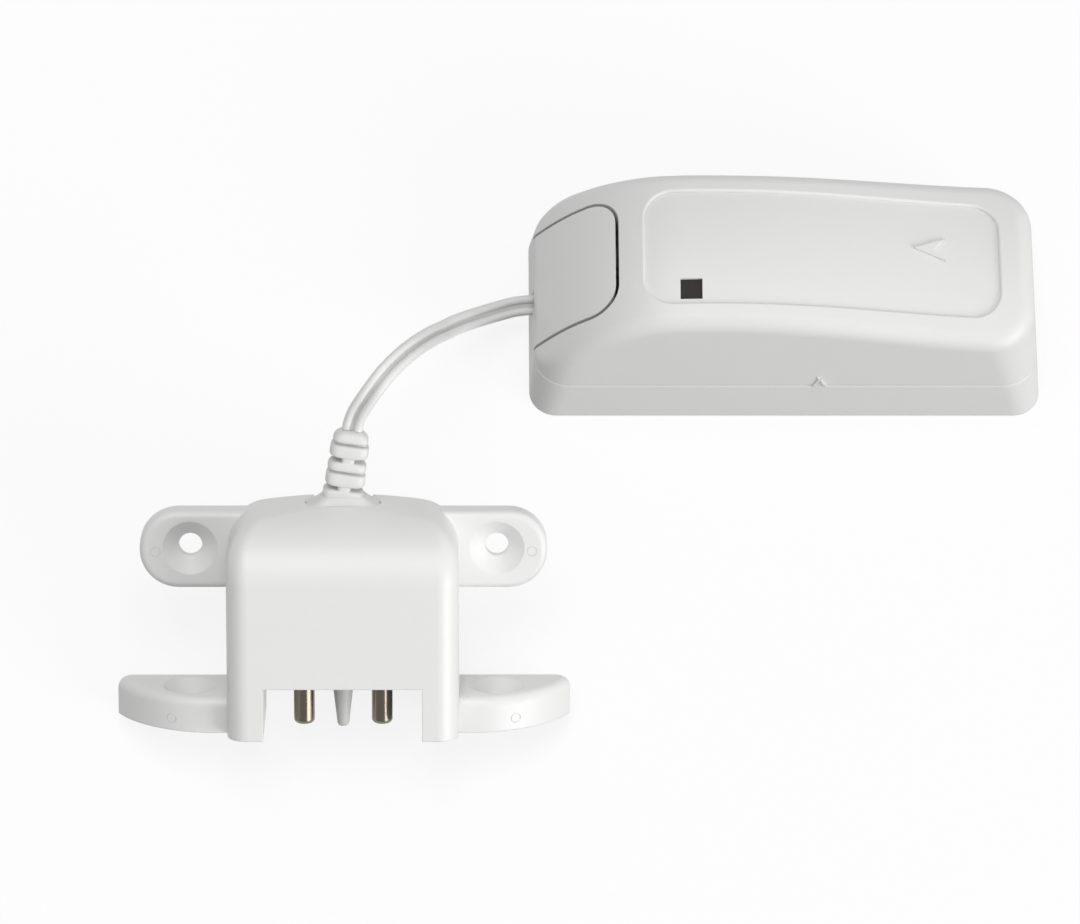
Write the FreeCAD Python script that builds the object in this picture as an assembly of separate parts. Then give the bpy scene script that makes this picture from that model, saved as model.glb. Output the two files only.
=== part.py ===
import FreeCAD, Part

import math
import os

from FreeCAD import Placement, Rotation, Vector

# Water leak detector: a flat radio transmitter that lies on its base, and a two-pin water probe
# on a short twin lead. Millimetres, +Z up. The origin is the centre of the transmitter's base,
# +X runs along the transmitter away from the lead and +Y away from the probe.

# Transmitter case
CASE_LENGTH = 81.0
CASE_WIDTH = 34.0
CASE_CORNER = 4.3
CORNER_GROWTH = 0.18
SIDE_LEAN = 0.135
LEFT_LEAN = 0.08
RIGHT_LEAN = 0.10
CREST_X = -13.0
CREST_HEIGHT = 25.6
NOSE_DROP = 16.2
NOSE_POWER = 2.65
TAIL_DROP = 5.5
TAIL_POWER = 1.1
CROWN = 3.0
CROWN_REACH = 19.0
TOP_SECTIONS = 15
TOP_OVERHANG = 1.5
TOP_EDGE_RADIUS = 3.0
WALL = 1.8
FLOOR = 2.0
PARTING_HEIGHT = 8.0
PARTING_CHAMFER = 0.3
LIP_HEIGHT = 1.6
LIP_WALL = 1.0
LIP_CLEARANCE = 0.2
LIP_BITE = 0.3
LIP_ROOT_HEIGHT = 1.2

# End cover over the lead terminals
END_COVER_LENGTH = 13.4
SEAM_HALF_WIDTH = 9.75
SEAM_CORNER = 4.2
SEAM_GAP = 0.5
BULKHEAD_WALL = 1.2
BULKHEAD_BOTTOM = 9.0

# Sunk panel on the top with its raised arrow, and the mark on the near side
PANEL_LEFT = -22.5
PANEL_RIGHT = 33.2
PANEL_HALF_WIDTH = 9.9
PANEL_CORNER = 4.5
PANEL_DEPTH = 0.5
PANEL_EDGE = 0.35
ARROW_TIP = (19.7, 1.3)
ARROW_LENGTH = 5.0
ARROW_HALF_WIDTH = 2.0
ARROW_NOTCH = 3.1
ARROW_SUNK = 0.1
MARK_X = 5.1
MARK_HALF_WIDTH = 1.2
MARK_HEIGHT = 2.4
MARK_RIB = 0.45
MARK_PROUD = 0.25
GRIP_HALF_WIDTH = 8.5
GRIP_DEPTH = 0.9
GRIP_LOW = 9.3
GRIP_HIGH = 15.8
GRIP_REACH = 6.0

# Indicator window
WINDOW_X = -15.4
WINDOW_Y = -7.5
WINDOW_SIZE = 3.3
WINDOW_FLANGE = 0.9
WINDOW_FLANGE_HEIGHT = 1.6
WINDOW_SINK = 0.35
FIT_GAP = 0.05

# Circuit board and what stands on it
BOARD_Z = 4.6
BOARD_THICKNESS = 1.2
BOARD_NEAR_Y = -13.2
BOARD_FAR_Y = 12.0
BOARD_LEFT = -37.6
BOARD_RIGHT = 34.0
BOARD_CLEARANCE = 0.3
STRIP_EDGE_Y = -5.2
LANDING_EDGE_Y = -3.9
BOARD_POSTS = [(-22.3, -9.0), (29.0, -10.0)]
POST_RADIUS = 1.8
BOARD_RESTS = [(-34.5, -11.2), (27.5, 10.0)]
REST_LENGTH = 3.0
REST_WIDTH = 2.0
ROOT = 0.5
BOARD_SCREW_RADIUS = 0.9
BOARD_SCREW_GRIP = 2.0
BOARD_SCREW_HEAD = 1.7
BOARD_SCREW_HEAD_HEIGHT = 1.1
LED_HEIGHT = 2.2
LED_SIZE = 2.2
LED_BASE_HEIGHT = 1.0
LED_DOME_RADIUS = 1.05
LIGHT_GAP = 0.4

# Battery
BATTERY_RADIUS = 8.5
BATTERY_LENGTH = 34.5
BATTERY_X = -3.75
BATTERY_Y = 3.7
BATTERY_LIFT = 1.0
BATTERY_GAP = 0.3
BATTERY_EDGE = 1.0
BATTERY_BUTTON_RADIUS = 3.1
BATTERY_BUTTON_HEIGHT = 0.9
CONTACT_THICKNESS = 0.4
CONTACT_STANDOFF = 0.5
CONTACT_HALF_WIDTH = 3.5
CONTACT_TOP = 15.5
CONTACT_FOOT = 1.5
CONTACT_FOOT_INSET = 0.3
CONTACT_ARM_LOW = 2.0
CONTACT_ARM_HIGH = 5.0
CONTACT_BUMP_BASE = 2.2
CONTACT_BUMP_TIP = 1.0
CONTACT_PLAY = 0.1
HOLDER_HALF_WIDTH = 6.0
HOLDER_WALL = 1.3
HOLDER_TOP = 13.0
HOLDER_BOARD_GAP = 0.9
CRADLE_WALL = 1.5
CRADLE_TOP = 7.5
CRADLE_X = [-13.0, 5.5]

# Terminal block and cover screw
TERMINAL_LEFT = -35.0
TERMINAL_PITCH = 3.81
TERMINAL_DEPTH = 5.2
TERMINAL_HEIGHT = 7.4
TERMINAL_INSET = 0.2
TERMINAL_RIDGE = 1.0
TERMINAL_SCREW_RADIUS = 1.3
TERMINAL_SCREW_SUNK = 0.4
TERMINAL_WELL = 3.0
TERMINAL_MOUTH = 1.0
TERMINAL_MOUTH_DEPTH = 2.5
TERMINAL_WIRE_HEIGHT = 2.6
COVER_SCREW_X = -30.4
COVER_SCREW_Y = 6.0
COVER_SCREW_RADIUS = 1.15
COVER_SCREW_HEAD = 2.3
COVER_SCREW_HEAD_HEIGHT = 1.5
COVER_SCREW_LENGTH = 7.0
EAR_Z = 10.2
EAR_THICKNESS = 1.8
EAR_HALF_WIDTH = 2.8
BOSS_RADIUS = 2.6
SCREW_PLAY = 0.15
PILOT_PLAY = 0.08
PILOT_DEPTH = 0.3

# Screw heads, as shares of their own size
HEAD_ROUNDING = 0.45
HEAD_SLOT_REACH = 0.62
HEAD_SLOT_HALF = 0.14
HEAD_SLOT_DEPTH = 0.6
TERMINAL_SLOT_HALF = 0.18
TERMINAL_SLOT_DEPTH = 0.45

# Buttons and switches on the board
ENROL_X = 8.0
SWITCH_Y = -9.2
ENROL_SIZE = 6.0
ENROL_HEIGHT = 3.5
ENROL_BUTTON_RADIUS = 1.7
ENROL_BUTTON_STAND = 1.6
ENROL_BUTTON_EDGE = 0.25
ENROL_TRAVEL = 0.5
SWITCH_FLOOR = 0.6
SWITCH_PLAY = 0.2
TAMPER_X = -6.0
TAMPER_LENGTH = 5.4
TAMPER_DEPTH = 3.8
TAMPER_HEIGHT = 4.0
TAMPER_RADIUS = 0.9
TAMPER_STAND = 1.4
TAMPER_TIP = 0.5
TAMPER_POST_GAP = 0.3
TAMPER_POST_RADIUS = 1.6

# Wall screw holes in the base
WALL_SCREW_SPACING = 54.0
WALL_SCREW_RADIUS = 1.8
WALL_SCREW_HEAD_ROOM = 3.7

# Radio parts
SHIELD_LENGTH = 10.5
SHIELD_WIDTH = 7.0
SHIELD_HEIGHT = 2.6
SHIELD_INSET = 1.9
SHIELD_EDGE_GAP = 0.6
SHIELD_BEND = 0.4
CHIP_SIZE = 6.0
CHIP_HEIGHT = 1.3
CHIP_STANDOFF = 0.15
CHIP_X = 20.0
CHIP_EDGE_GAP = 1.3
CHIP_LEGS = 6
CHIP_LEG_WIDTH = 0.3
CHIP_LEG_REACH = 0.6
ANTENNA_X = 32.0
ANTENNA_HALF_SPAN = 9.6
ANTENNA_RADIUS = 0.4
ANTENNA_TOP = 13.5
ANTENNA_BEND = 2.0

# Twin lead
LEAD_WIDTH = 3.2
LEAD_Y = -0.3
LEAD_Z = 6.0
LEAD_INNER_X = -38.4
SHEATH_LENGTH = 4.4
NOTCH_CLEARANCE = 0.3
NOTCH_REACH = 3.0
TIE_INSET = 1.7
TIE_WALL = 0.7
TIE_WIDTH = 2.2
TIE_HEAD_SIZE = 2.1
TIE_HEAD_GAP = 0.3
CORE_RADIUS = 0.6
CORE_HALF_SPACING = 0.8
TAIL_BEND_REACH = 1.6
TAIL_BEND_RISE = 0.7
TAIL_STRAIGHT = 0.4

# Probe, in its own frame: x across, y up the body, z out of its front
PROBE_X = -69.3
PROBE_Y = -67.8
PROBE_LEAN = 43.0
BODY_HALF_WIDTH = 17.65
BODY_DEPTH = 17.4
BODY_TOP = 34.3
BODY_CORNER = 6.5
BODY_CROWN_RADIUS = 87.0
BROW_START = 24.3
BROW_RISE = 10.7
BROW_DEPTH = 16.0
BODY_FILLET = 3.2
BODY_WALL = 2.2
OPENING_HALF_WIDTH = 12.1
OPENING_HEIGHT = 8.3
TAB_HALF_SPAN = 31.25
TAB_LOW = 20.1
TAB_HIGH = 32.4
TAB_THICKNESS = 3.4
TAB_CORNER = 6.0
HOLE_X = 23.5
TAB_HOLE_Y = 26.6
FOOT_HOLE_Z = 6.6
HOLE_RADIUS = 1.8
SINK_RADIUS = 4.2
SINK_DEPTH = 2.2
FOOT_HALF_SPAN = 34.8
FOOT_THICKNESS = 5.6
FOOT_DEPTH = 13.0
FOOT_BOW_X = 29.6
FOOT_BOW_Z = 9.5
FOOT_END_Z = 3.1
FOOT_CORNER = 2.3
FOOT_EDGE = 1.5
FOOT_ROOT = 2.0
SOFT_EDGE = 1.1
BACK_THICKNESS = 1.8
BACK_CLEARANCE = 0.15
CARRIER_BOTTOM = 9.0
CARRIER_HEIGHT = 4.5
PIN_X = 5.95
PIN_SETBACK = 6.4
PIN_RADIUS = 1.6
PIN_TIP = 1.1
PIN_TOP = 16.5
PIN_ROUND = 0.7
PIN_FLANGE = 0.8
PIN_FLANGE_HEIGHT = 1.0
WIRE_RISE = 4.5
WIRE_BEND_RISE = 9.5
WIRE_BEND_INWARD = 2.2
WIRE_BEND_BACK = 3.2
WIRE_ENTRY_HALF = 1.3
WIRE_ENTRY_LENGTH = 2.2
POST_TOP_RADIUS = 1.8
POST_TIP_RADIUS = 0.85
POST_TIP = 0.6

# Strain relief on the probe, along its own axis from the top of the body
RELIEF_Z = 4.0
RELIEF_TILT = 8.0
COLLAR_HALF_WIDTH = 5.7
COLLAR_HALF_DEPTH = 3.0
COLLAR_PROUD = 1.1
COLLAR_SUNK = 2.2
COLLAR_PLAY = 0.1
COLLAR_SLOT_HALF = 4.5
RELIEF_DEPTH = 4.8
RELIEF_CORNER = 1.5
RELIEF_EDGE = 0.4
RELIEF_ROOT_WIDTH = 5.2
RELIEF_ROOT_DEPTH = 4.0
RELIEF_CORE_WIDTH = 2.8
RELIEF_CORE_DEPTH = 2.6
RELIEF_CORE_CORNER = 0.6
RELIEF_CORE_SUNK = 0.1
# Each slice: start height, end height, width, depth scale
RELIEF_SLICES = [
    (0.0, 0.9, 6.2, 1.0),
    (0.9, 2.0, 2.7, 0.6),
    (2.0, 3.5, 6.1, 1.0),
    (3.5, 4.1, 5.6, 0.8),
    (4.1, 5.3, 6.0, 1.0),
    (5.3, 6.4, 2.9, 0.6),
    (6.4, 7.6, 5.9, 1.0),
    (7.6, 8.2, 5.2, 0.8),
    (8.2, 9.6, 5.6, 1.0),
    (9.6, 10.2, 4.6, 0.8),
]

# Route of the free lead, from the strain relief to the notch in the case
LEAD_ROUTE = [
    (-67.88, -37.25, 33.96),
    (-67.43, -34.93, 36.12),
    (-65.75, -31.96, 38.54),
    (-62.05, -28.20, 40.39),
    (-57.25, -24.18, 39.53),
    (-53.98, -20.38, 35.67),
    (-53.46, -16.63, 28.89),
    (-53.08, -14.54, 23.84),
    (-52.64, -11.91, 20.92),
    (-52.18, -9.82, 16.37),
    (-51.70, -6.96, 12.11),
    (-50.38, -4.89, 9.57),
    (-48.19, -2.89, 7.66),
    (-45.29, -1.25, 6.49),
    (-41.90, -0.30, 6.00),
    (-38.40, -0.30, 6.00),
]

HALF_LENGTH = CASE_LENGTH / 2
HALF_WIDTH = CASE_WIDTH / 2
BOARD_TOP = BOARD_Z + BOARD_THICKNESS
BATTERY_Z = FLOOR + BATTERY_LIFT + BATTERY_RADIUS
BATTERY_LEFT = BATTERY_X - BATTERY_LENGTH / 2
BATTERY_RIGHT = BATTERY_X + BATTERY_LENGTH / 2
CONTACT_OFFSET = CONTACT_STANDOFF + CONTACT_THICKNESS
LANDING_END_X = BATTERY_LEFT + CONTACT_STANDOFF
BLOCK_START_X = BATTERY_RIGHT + CONTACT_OFFSET + HOLDER_WALL + HOLDER_BOARD_GAP
TERMINAL_FAR = LANDING_EDGE_Y - TERMINAL_INSET
TERMINAL_NEAR = TERMINAL_FAR - TERMINAL_DEPTH
TERMINAL_TOP = BOARD_TOP + TERMINAL_HEIGHT
SHEATH_END = LEAD_INNER_X + SHEATH_LENGTH
PIN_Z = BODY_DEPTH - PIN_SETBACK
SEAM_X = -HALF_LENGTH + END_COVER_LENGTH
SKY = 60.0


def box(x0, x1, y0, y1, z0, z1):
    return Part.makeBox(x1 - x0, y1 - y0, z1 - z0, Vector(x0, y0, z0))


def rod(radius, start, end):
    along = Vector(*end) - Vector(*start)
    return Part.makeCylinder(radius, along.Length, Vector(*start), along)


def fused(shapes):
    result = shapes[0]
    for shape in shapes[1:]:
        result = result.fuse(shape)
    return result.removeSplitter()


def rounded_rectangle(x0, x1, y0, y1, radius, z):
    diagonal = radius * (1 - math.sqrt(0.5))
    corners = [(x1, y0, -1, 1), (x1, y1, -1, -1), (x0, y1, 1, -1), (x0, y0, 1, 1)]
    edges = []
    ends = []
    for index, (x, y, inward_x, inward_y) in enumerate(corners):
        along_x = Vector(x + inward_x * radius, y, z)
        along_y = Vector(x, y + inward_y * radius, z)
        middle = Vector(x + inward_x * diagonal, y + inward_y * diagonal, z)
        first, last = (along_x, along_y) if index % 2 == 0 else (along_y, along_x)
        ends.append((first, last))
        edges.append(Part.Arc(first, middle, last).toShape())
    ordered = []
    for index, edge in enumerate(edges):
        ordered.append(edge)
        next_first = ends[(index + 1) % 4][0]
        ordered.append(Part.LineSegment(ends[index][1], next_first).toShape())
    return Part.Wire(ordered)


def crest_height(x):
    if x < CREST_X:
        share = (CREST_X - x) / (CREST_X + HALF_LENGTH)
        return CREST_HEIGHT - NOSE_DROP * share**NOSE_POWER
    share = (x - CREST_X) / (HALF_LENGTH - CREST_X)
    return CREST_HEIGHT - TAIL_DROP * (1 - math.cos(math.pi * share**TAIL_POWER)) / 2


def top_height(x, y):
    return crest_height(x) - CROWN * (y / CROWN_REACH) ** 2


def plan_outline(z, inset):
    return rounded_rectangle(
        -HALF_LENGTH + LEFT_LEAN * z + inset,
        HALF_LENGTH - RIGHT_LEAN * z - inset,
        -HALF_WIDTH + SIDE_LEAN * z + inset,
        HALF_WIDTH - SIDE_LEAN * z - inset,
        CASE_CORNER + CORNER_GROWTH * z - inset,
        z,
    )


def case_walls(inset, bottom):
    ceiling = CREST_HEIGHT + 2
    return Part.makeLoft([plan_outline(bottom, inset), plan_outline(ceiling, inset)], True, True)


def under_the_top(drop):
    reach = CROWN_REACH
    first = -HALF_LENGTH - TOP_OVERHANG
    step = (CASE_LENGTH + 2 * TOP_OVERHANG) / (TOP_SECTIONS - 1)
    sections = []
    for index in range(TOP_SECTIONS):
        x = first + step * index
        crest = crest_height(x) - drop
        left = Vector(x, -reach, crest - CROWN)
        right = Vector(x, reach, crest - CROWN)
        arc = Part.Arc(left, Vector(x, 0, crest), right).toShape()
        foot_right = Vector(x, reach, -1)
        foot_left = Vector(x, -reach, -1)
        sides = Part.makePolygon([right, foot_right, foot_left, left])
        sections.append(Part.Wire([arc] + sides.Edges))
    return Part.makeLoft(sections, True)


def case_form(inset, drop, bottom, edge_radius):
    form = case_walls(inset, bottom).common(under_the_top(drop))
    top = max(form.Faces, key=lambda face: face.CenterOfMass.z)
    return form.makeFillet(edge_radius, top.OuterWire.Edges)


def seam_prism(grow, low, high):
    """The end cover's outline in plan, open past the left end and grown by the gap."""
    beyond = -HALF_LENGTH - 3 * SEAM_CORNER
    half = SEAM_HALF_WIDTH + grow
    outline = rounded_rectangle(beyond, SEAM_X + grow, -half, half, SEAM_CORNER + grow, low)
    return Part.Face(outline).extrude(Vector(0, 0, high - low))


def panel_prism():
    outline = rounded_rectangle(
        PANEL_LEFT, PANEL_RIGHT, -PANEL_HALF_WIDTH, PANEL_HALF_WIDTH, PANEL_CORNER,
        PARTING_HEIGHT,
    )
    return Part.Face(outline).extrude(Vector(0, 0, SKY))


def arrow_prism():
    x, y = ARROW_TIP
    low = PARTING_HEIGHT
    points = [
        Vector(x, y, low),
        Vector(x + ARROW_LENGTH, y + ARROW_HALF_WIDTH, low),
        Vector(x + ARROW_NOTCH, y, low),
        Vector(x + ARROW_LENGTH, y - ARROW_HALF_WIDTH, low),
        Vector(x, y, low),
    ]
    return Part.Face(Part.makePolygon(points)).extrude(Vector(0, 0, SKY))


def on_panel_rim(edge):
    """Whether an edge is part of the panel's upper rim."""
    start, end = edge.ParameterRange
    for share in (0.25, 0.5, 0.75):
        point = edge.valueAt(start + (end - start) * share)
        from_left = min(abs(point.x - PANEL_LEFT), abs(point.x - PANEL_RIGHT))
        from_side = abs(abs(point.y) - PANEL_HALF_WIDTH)
        at_corner = from_left < PANEL_CORNER and from_side < PANEL_CORNER
        on_outline = min(from_left, from_side) < 0.01 or at_corner
        on_top = top_height(point.x, point.y) - point.z < PANEL_DEPTH / 2
        if not (on_outline and on_top and abs(point.y) < PANEL_HALF_WIDTH + 0.01):
            return False
    return True


def side_mark(outer):
    ribs = []
    for side in (1, -1):
        foot = Vector(MARK_X + side * MARK_HALF_WIDTH, -HALF_WIDTH - 1, PARTING_HEIGHT + 0.1)
        apex = Vector(MARK_X, -HALF_WIDTH - 1, PARTING_HEIGHT + MARK_HEIGHT)
        across = Vector(side * MARK_RIB, 0, 0)
        outline = Part.makePolygon([foot, apex, apex - across, foot - across, foot])
        ribs.append(Part.Face(outline).extrude(Vector(0, 5, 0)))
    proud = outer.copy()
    proud.translate(Vector(0, -MARK_PROUD, 0))
    return fused(ribs).common(proud)


def grip_cut():
    """A shallow bow in the right end, square to its leaning wall."""
    middle_z = (GRIP_LOW + GRIP_HIGH) / 2
    wall_x = HALF_LENGTH - RIGHT_LEAN * middle_z
    near = Vector(wall_x, -GRIP_HALF_WIDTH, GRIP_LOW)
    far = Vector(wall_x, GRIP_HALF_WIDTH, GRIP_LOW)
    outward = Vector(GRIP_REACH, 0, 0)
    bow = Part.Arc(near, Vector(wall_x - GRIP_DEPTH, 0, GRIP_LOW), far).toShape()
    back = Part.makePolygon([far, far + outward, near + outward, near])
    lens = Part.Face(Part.Wire([bow] + back.Edges)).extrude(Vector(0, 0, GRIP_HIGH - GRIP_LOW))
    lean = math.degrees(math.atan(RIGHT_LEAN))
    lens.rotate(Vector(wall_x, 0, middle_z), Vector(0, 1, 0), -lean)
    return lens


def lead_notch(clearance, top):
    half = LEAD_WIDTH / 2 + clearance
    outside = -HALF_LENGTH - 2
    inside = LEAD_INNER_X + NOTCH_REACH
    slot = box(outside, inside, LEAD_Y - half, LEAD_Y + half, LEAD_Z, top)
    bottom = rod(half, (outside, LEAD_Y, LEAD_Z), (inside, LEAD_Y, LEAD_Z))
    return slot.fuse(bottom)


def lip(inner_inset):
    low = PARTING_HEIGHT - LIP_HEIGHT
    outside = case_walls(inner_inset + LIP_CLEARANCE, 0)
    inside = case_walls(inner_inset + LIP_CLEARANCE + LIP_WALL, 0)
    ring = outside.common(box(-SKY, SKY, -SKY, SKY, low, PARTING_HEIGHT + 0.01))
    shoulder = case_walls(inner_inset - LIP_BITE, 0).common(
        box(-SKY, SKY, -SKY, SKY, PARTING_HEIGHT, PARTING_HEIGHT + LIP_ROOT_HEIGHT)
    )
    return ring.fuse(shoulder).cut(inside)


def case_shells():
    outer = case_form(0, 0, 0, TOP_EDGE_RADIUS)
    inner = case_form(WALL, WALL, FLOOR, TOP_EDGE_RADIUS - WALL)
    hollow = outer.cut(inner)
    above = box(-SKY, SKY, -SKY, SKY, PARTING_HEIGHT, SKY)
    upper = hollow.common(above).fuse(lip(WALL))
    panel_floor = outer.copy()
    panel_floor.translate(Vector(0, 0, -PANEL_DEPTH))
    upper = upper.cut(panel_prism().cut(panel_floor))
    upper = upper.makeFillet(PANEL_EDGE, [edge for edge in upper.Edges if on_panel_rim(edge)])
    arrow_top = outer.copy()
    arrow_top.translate(Vector(0, 0, -ARROW_SUNK))
    arrow = arrow_prism().common(arrow_top).cut(inner)
    upper = upper.fuse(arrow)
    upper = upper.cut(grip_cut())
    upper = upper.fuse(side_mark(outer).common(above))
    tray = hollow.cut(above)
    return outer, inner, upper, tray


def parting_groove(outer):
    low = PARTING_HEIGHT - PARTING_CHAMFER
    high = PARTING_HEIGHT + PARTING_CHAMFER
    band = outer.common(box(-SKY, SKY, -SKY, SKY, low, high))
    waist = plan_outline(PARTING_HEIGHT, PARTING_CHAMFER)
    lower = Part.makeLoft([plan_outline(low, 0), waist], True, True)
    upper = Part.makeLoft([waist, plan_outline(high, 0)], True, True)
    return band.cut(lower.fuse(upper))


def make_top_cover(upper, inner):
    cover = upper.cut(seam_prism(SEAM_GAP, 0, SKY))
    screen = seam_prism(SEAM_GAP + BULKHEAD_WALL, BULKHEAD_BOTTOM, SKY)
    screen = screen.cut(seam_prism(SEAM_GAP, 0, SKY)).common(inner)
    screen = screen.common(box(SEAM_X, SKY, -SEAM_HALF_WIDTH, SEAM_HALF_WIDTH, 0, SKY))
    ear = box(
        COVER_SCREW_X - EAR_HALF_WIDTH, SEAM_X + SEAM_GAP + ROOT,
        COVER_SCREW_Y - EAR_HALF_WIDTH, COVER_SCREW_Y + EAR_HALF_WIDTH,
        EAR_Z, EAR_Z + EAR_THICKNESS,
    )
    post_low = BOARD_TOP + TAMPER_HEIGHT + TAMPER_STAND + TAMPER_POST_GAP
    post = rod(TAMPER_POST_RADIUS, (TAMPER_X, SWITCH_Y, post_low), (TAMPER_X, SWITCH_Y, SKY))
    post = post.common(inner)
    cover = cover.fuse([screen, ear, post])
    hole = rod(
        COVER_SCREW_RADIUS + SCREW_PLAY, (COVER_SCREW_X, COVER_SCREW_Y, EAR_Z - 1),
        (COVER_SCREW_X, COVER_SCREW_Y, EAR_Z + EAR_THICKNESS + 1),
    )
    half = WINDOW_SIZE / 2 + FIT_GAP
    window = box(WINDOW_X - half, WINDOW_X + half, WINDOW_Y - half, WINDOW_Y + half, 10, SKY)
    return cover.cut(hole).cut(window)


def make_end_cover(upper):
    cover = upper.common(seam_prism(0, 0, SKY))
    return cover.cut(lead_notch(NOTCH_CLEARANCE, PARTING_HEIGHT + 0.5))


def make_base_tray(tray, inner):
    posts = []
    for x, y in BOARD_POSTS:
        post = rod(POST_RADIUS, (x, y, FLOOR - ROOT), (x, y, BOARD_Z))
        pilot = rod(BOARD_SCREW_RADIUS - FIT_GAP, (x, y, FLOOR), (x, y, BOARD_Z + 1))
        posts.append(post.cut(pilot))
    rests = []
    for x, y in BOARD_RESTS:
        rests.append(box(
            x - REST_LENGTH / 2, x + REST_LENGTH / 2, y - REST_WIDTH / 2, y + REST_WIDTH / 2,
            FLOOR - ROOT, BOARD_Z,
        ))
    boss = rod(
        BOSS_RADIUS, (COVER_SCREW_X, COVER_SCREW_Y, FLOOR - ROOT),
        (COVER_SCREW_X, COVER_SCREW_Y, EAR_Z),
    )
    screw_low = EAR_Z + EAR_THICKNESS - COVER_SCREW_LENGTH - PILOT_DEPTH
    pilot = rod(
        COVER_SCREW_RADIUS + PILOT_PLAY, (COVER_SCREW_X, COVER_SCREW_Y, screw_low),
        (COVER_SCREW_X, COVER_SCREW_Y, EAR_Z + 1),
    )
    cell = rod(
        BATTERY_RADIUS + BATTERY_GAP, (BATTERY_LEFT, BATTERY_Y, BATTERY_Z),
        (BATTERY_RIGHT, BATTERY_Y, BATTERY_Z),
    )
    cradles = []
    for x in CRADLE_X:
        rib = box(
            x, x + CRADLE_WALL, STRIP_EDGE_Y + BOARD_CLEARANCE, BATTERY_Y + BATTERY_RADIUS,
            FLOOR - ROOT, CRADLE_TOP,
        )
        cradles.append(rib.cut(cell))
    holders = []
    for face in (BATTERY_LEFT - CONTACT_OFFSET - HOLDER_WALL, BATTERY_RIGHT + CONTACT_OFFSET):
        holders.append(box(
            face, face + HOLDER_WALL, BATTERY_Y - HOLDER_HALF_WIDTH,
            BATTERY_Y + HOLDER_HALF_WIDTH, FLOOR - ROOT, HOLDER_TOP,
        ))
    base = tray.fuse(posts + rests + [boss] + cradles + holders)
    base = base.cut(pilot).cut(lead_notch(FIT_GAP, SKY))
    for side in (-1, 1):
        x = side * WALL_SCREW_SPACING / 2
        base = base.cut(rod(WALL_SCREW_RADIUS, (x, 0, -1), (x, 0, FLOOR + 1)))
    return base


def make_circuit_board():
    outline = Part.makePolygon([
        Vector(BOARD_LEFT, BOARD_NEAR_Y, BOARD_Z),
        Vector(BOARD_RIGHT, BOARD_NEAR_Y, BOARD_Z),
        Vector(BOARD_RIGHT, BOARD_FAR_Y, BOARD_Z),
        Vector(BLOCK_START_X, BOARD_FAR_Y, BOARD_Z),
        Vector(BLOCK_START_X, STRIP_EDGE_Y, BOARD_Z),
        Vector(LANDING_END_X, STRIP_EDGE_Y, BOARD_Z),
        Vector(LANDING_END_X, LANDING_EDGE_Y, BOARD_Z),
        Vector(BOARD_LEFT, LANDING_EDGE_Y, BOARD_Z),
        Vector(BOARD_LEFT, BOARD_NEAR_Y, BOARD_Z),
    ])
    board = Part.Face(outline).extrude(Vector(0, 0, BOARD_THICKNESS))
    for x, y in BOARD_POSTS:
        hole = rod(BOARD_SCREW_RADIUS + 2 * FIT_GAP, (x, y, BOARD_Z - 1), (x, y, BOARD_TOP + 1))
        board = board.cut(hole)
    x = WALL_SCREW_SPACING / 2
    board = board.cut(rod(WALL_SCREW_HEAD_ROOM, (x, 0, BOARD_Z - 1), (x, 0, BOARD_TOP + 1)))
    return board.common(case_walls(WALL + BOARD_CLEARANCE, 0))


def pan_screw(x, y, seat, radius, head_radius, head_height, length):
    shank = rod(radius, (x, y, seat - length), (x, y, seat + 0.1))
    head = rod(head_radius, (x, y, seat), (x, y, seat + head_height))
    rim = [edge for edge in head.Edges if abs(edge.CenterOfMass.z - seat - head_height) < 0.01]
    head = head.makeFillet(head_height * HEAD_ROUNDING, rim)
    screw = shank.fuse(head)
    arm = head_radius * HEAD_SLOT_REACH
    blade = head_radius * HEAD_SLOT_HALF
    top = seat + head_height
    slot_low = top - head_height * HEAD_SLOT_DEPTH
    for angle in (0, 90):
        slot = box(x - arm, x + arm, y - blade, y + blade, slot_low, top + 1)
        slot.rotate(Vector(x, y, 0), Vector(0, 0, 1), angle)
        screw = screw.cut(slot)
    return screw


def make_board_screws():
    screws = []
    for x, y in BOARD_POSTS:
        screws.append(pan_screw(
            x, y, BOARD_TOP, BOARD_SCREW_RADIUS - 2 * FIT_GAP, BOARD_SCREW_HEAD,
            BOARD_SCREW_HEAD_HEIGHT, BOARD_THICKNESS + BOARD_SCREW_GRIP,
        ))
    return Part.makeCompound(screws)


def make_cover_screw():
    return pan_screw(
        COVER_SCREW_X, COVER_SCREW_Y, EAR_Z + EAR_THICKNESS, COVER_SCREW_RADIUS,
        COVER_SCREW_HEAD, COVER_SCREW_HEAD_HEIGHT, COVER_SCREW_LENGTH,
    )


def make_indicator_window(outer):
    half = WINDOW_SIZE / 2
    low = BOARD_TOP + LED_HEIGHT + LIGHT_GAP
    pipe = box(WINDOW_X - half, WINDOW_X + half, WINDOW_Y - half, WINDOW_Y + half, low, SKY)
    face = outer.copy()
    face.translate(Vector(0, 0, -PANEL_DEPTH - WINDOW_SINK))
    pipe = pipe.common(face)
    collar = half + WINDOW_FLANGE
    seat = outer.copy()
    seat.translate(Vector(0, 0, -WALL - FIT_GAP))
    flange = box(
        WINDOW_X - collar, WINDOW_X + collar, WINDOW_Y - collar, WINDOW_Y + collar,
        top_height(WINDOW_X, WINDOW_Y) - WALL - WINDOW_FLANGE_HEIGHT, SKY,
    ).common(seat)
    return pipe.fuse(flange)


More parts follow.
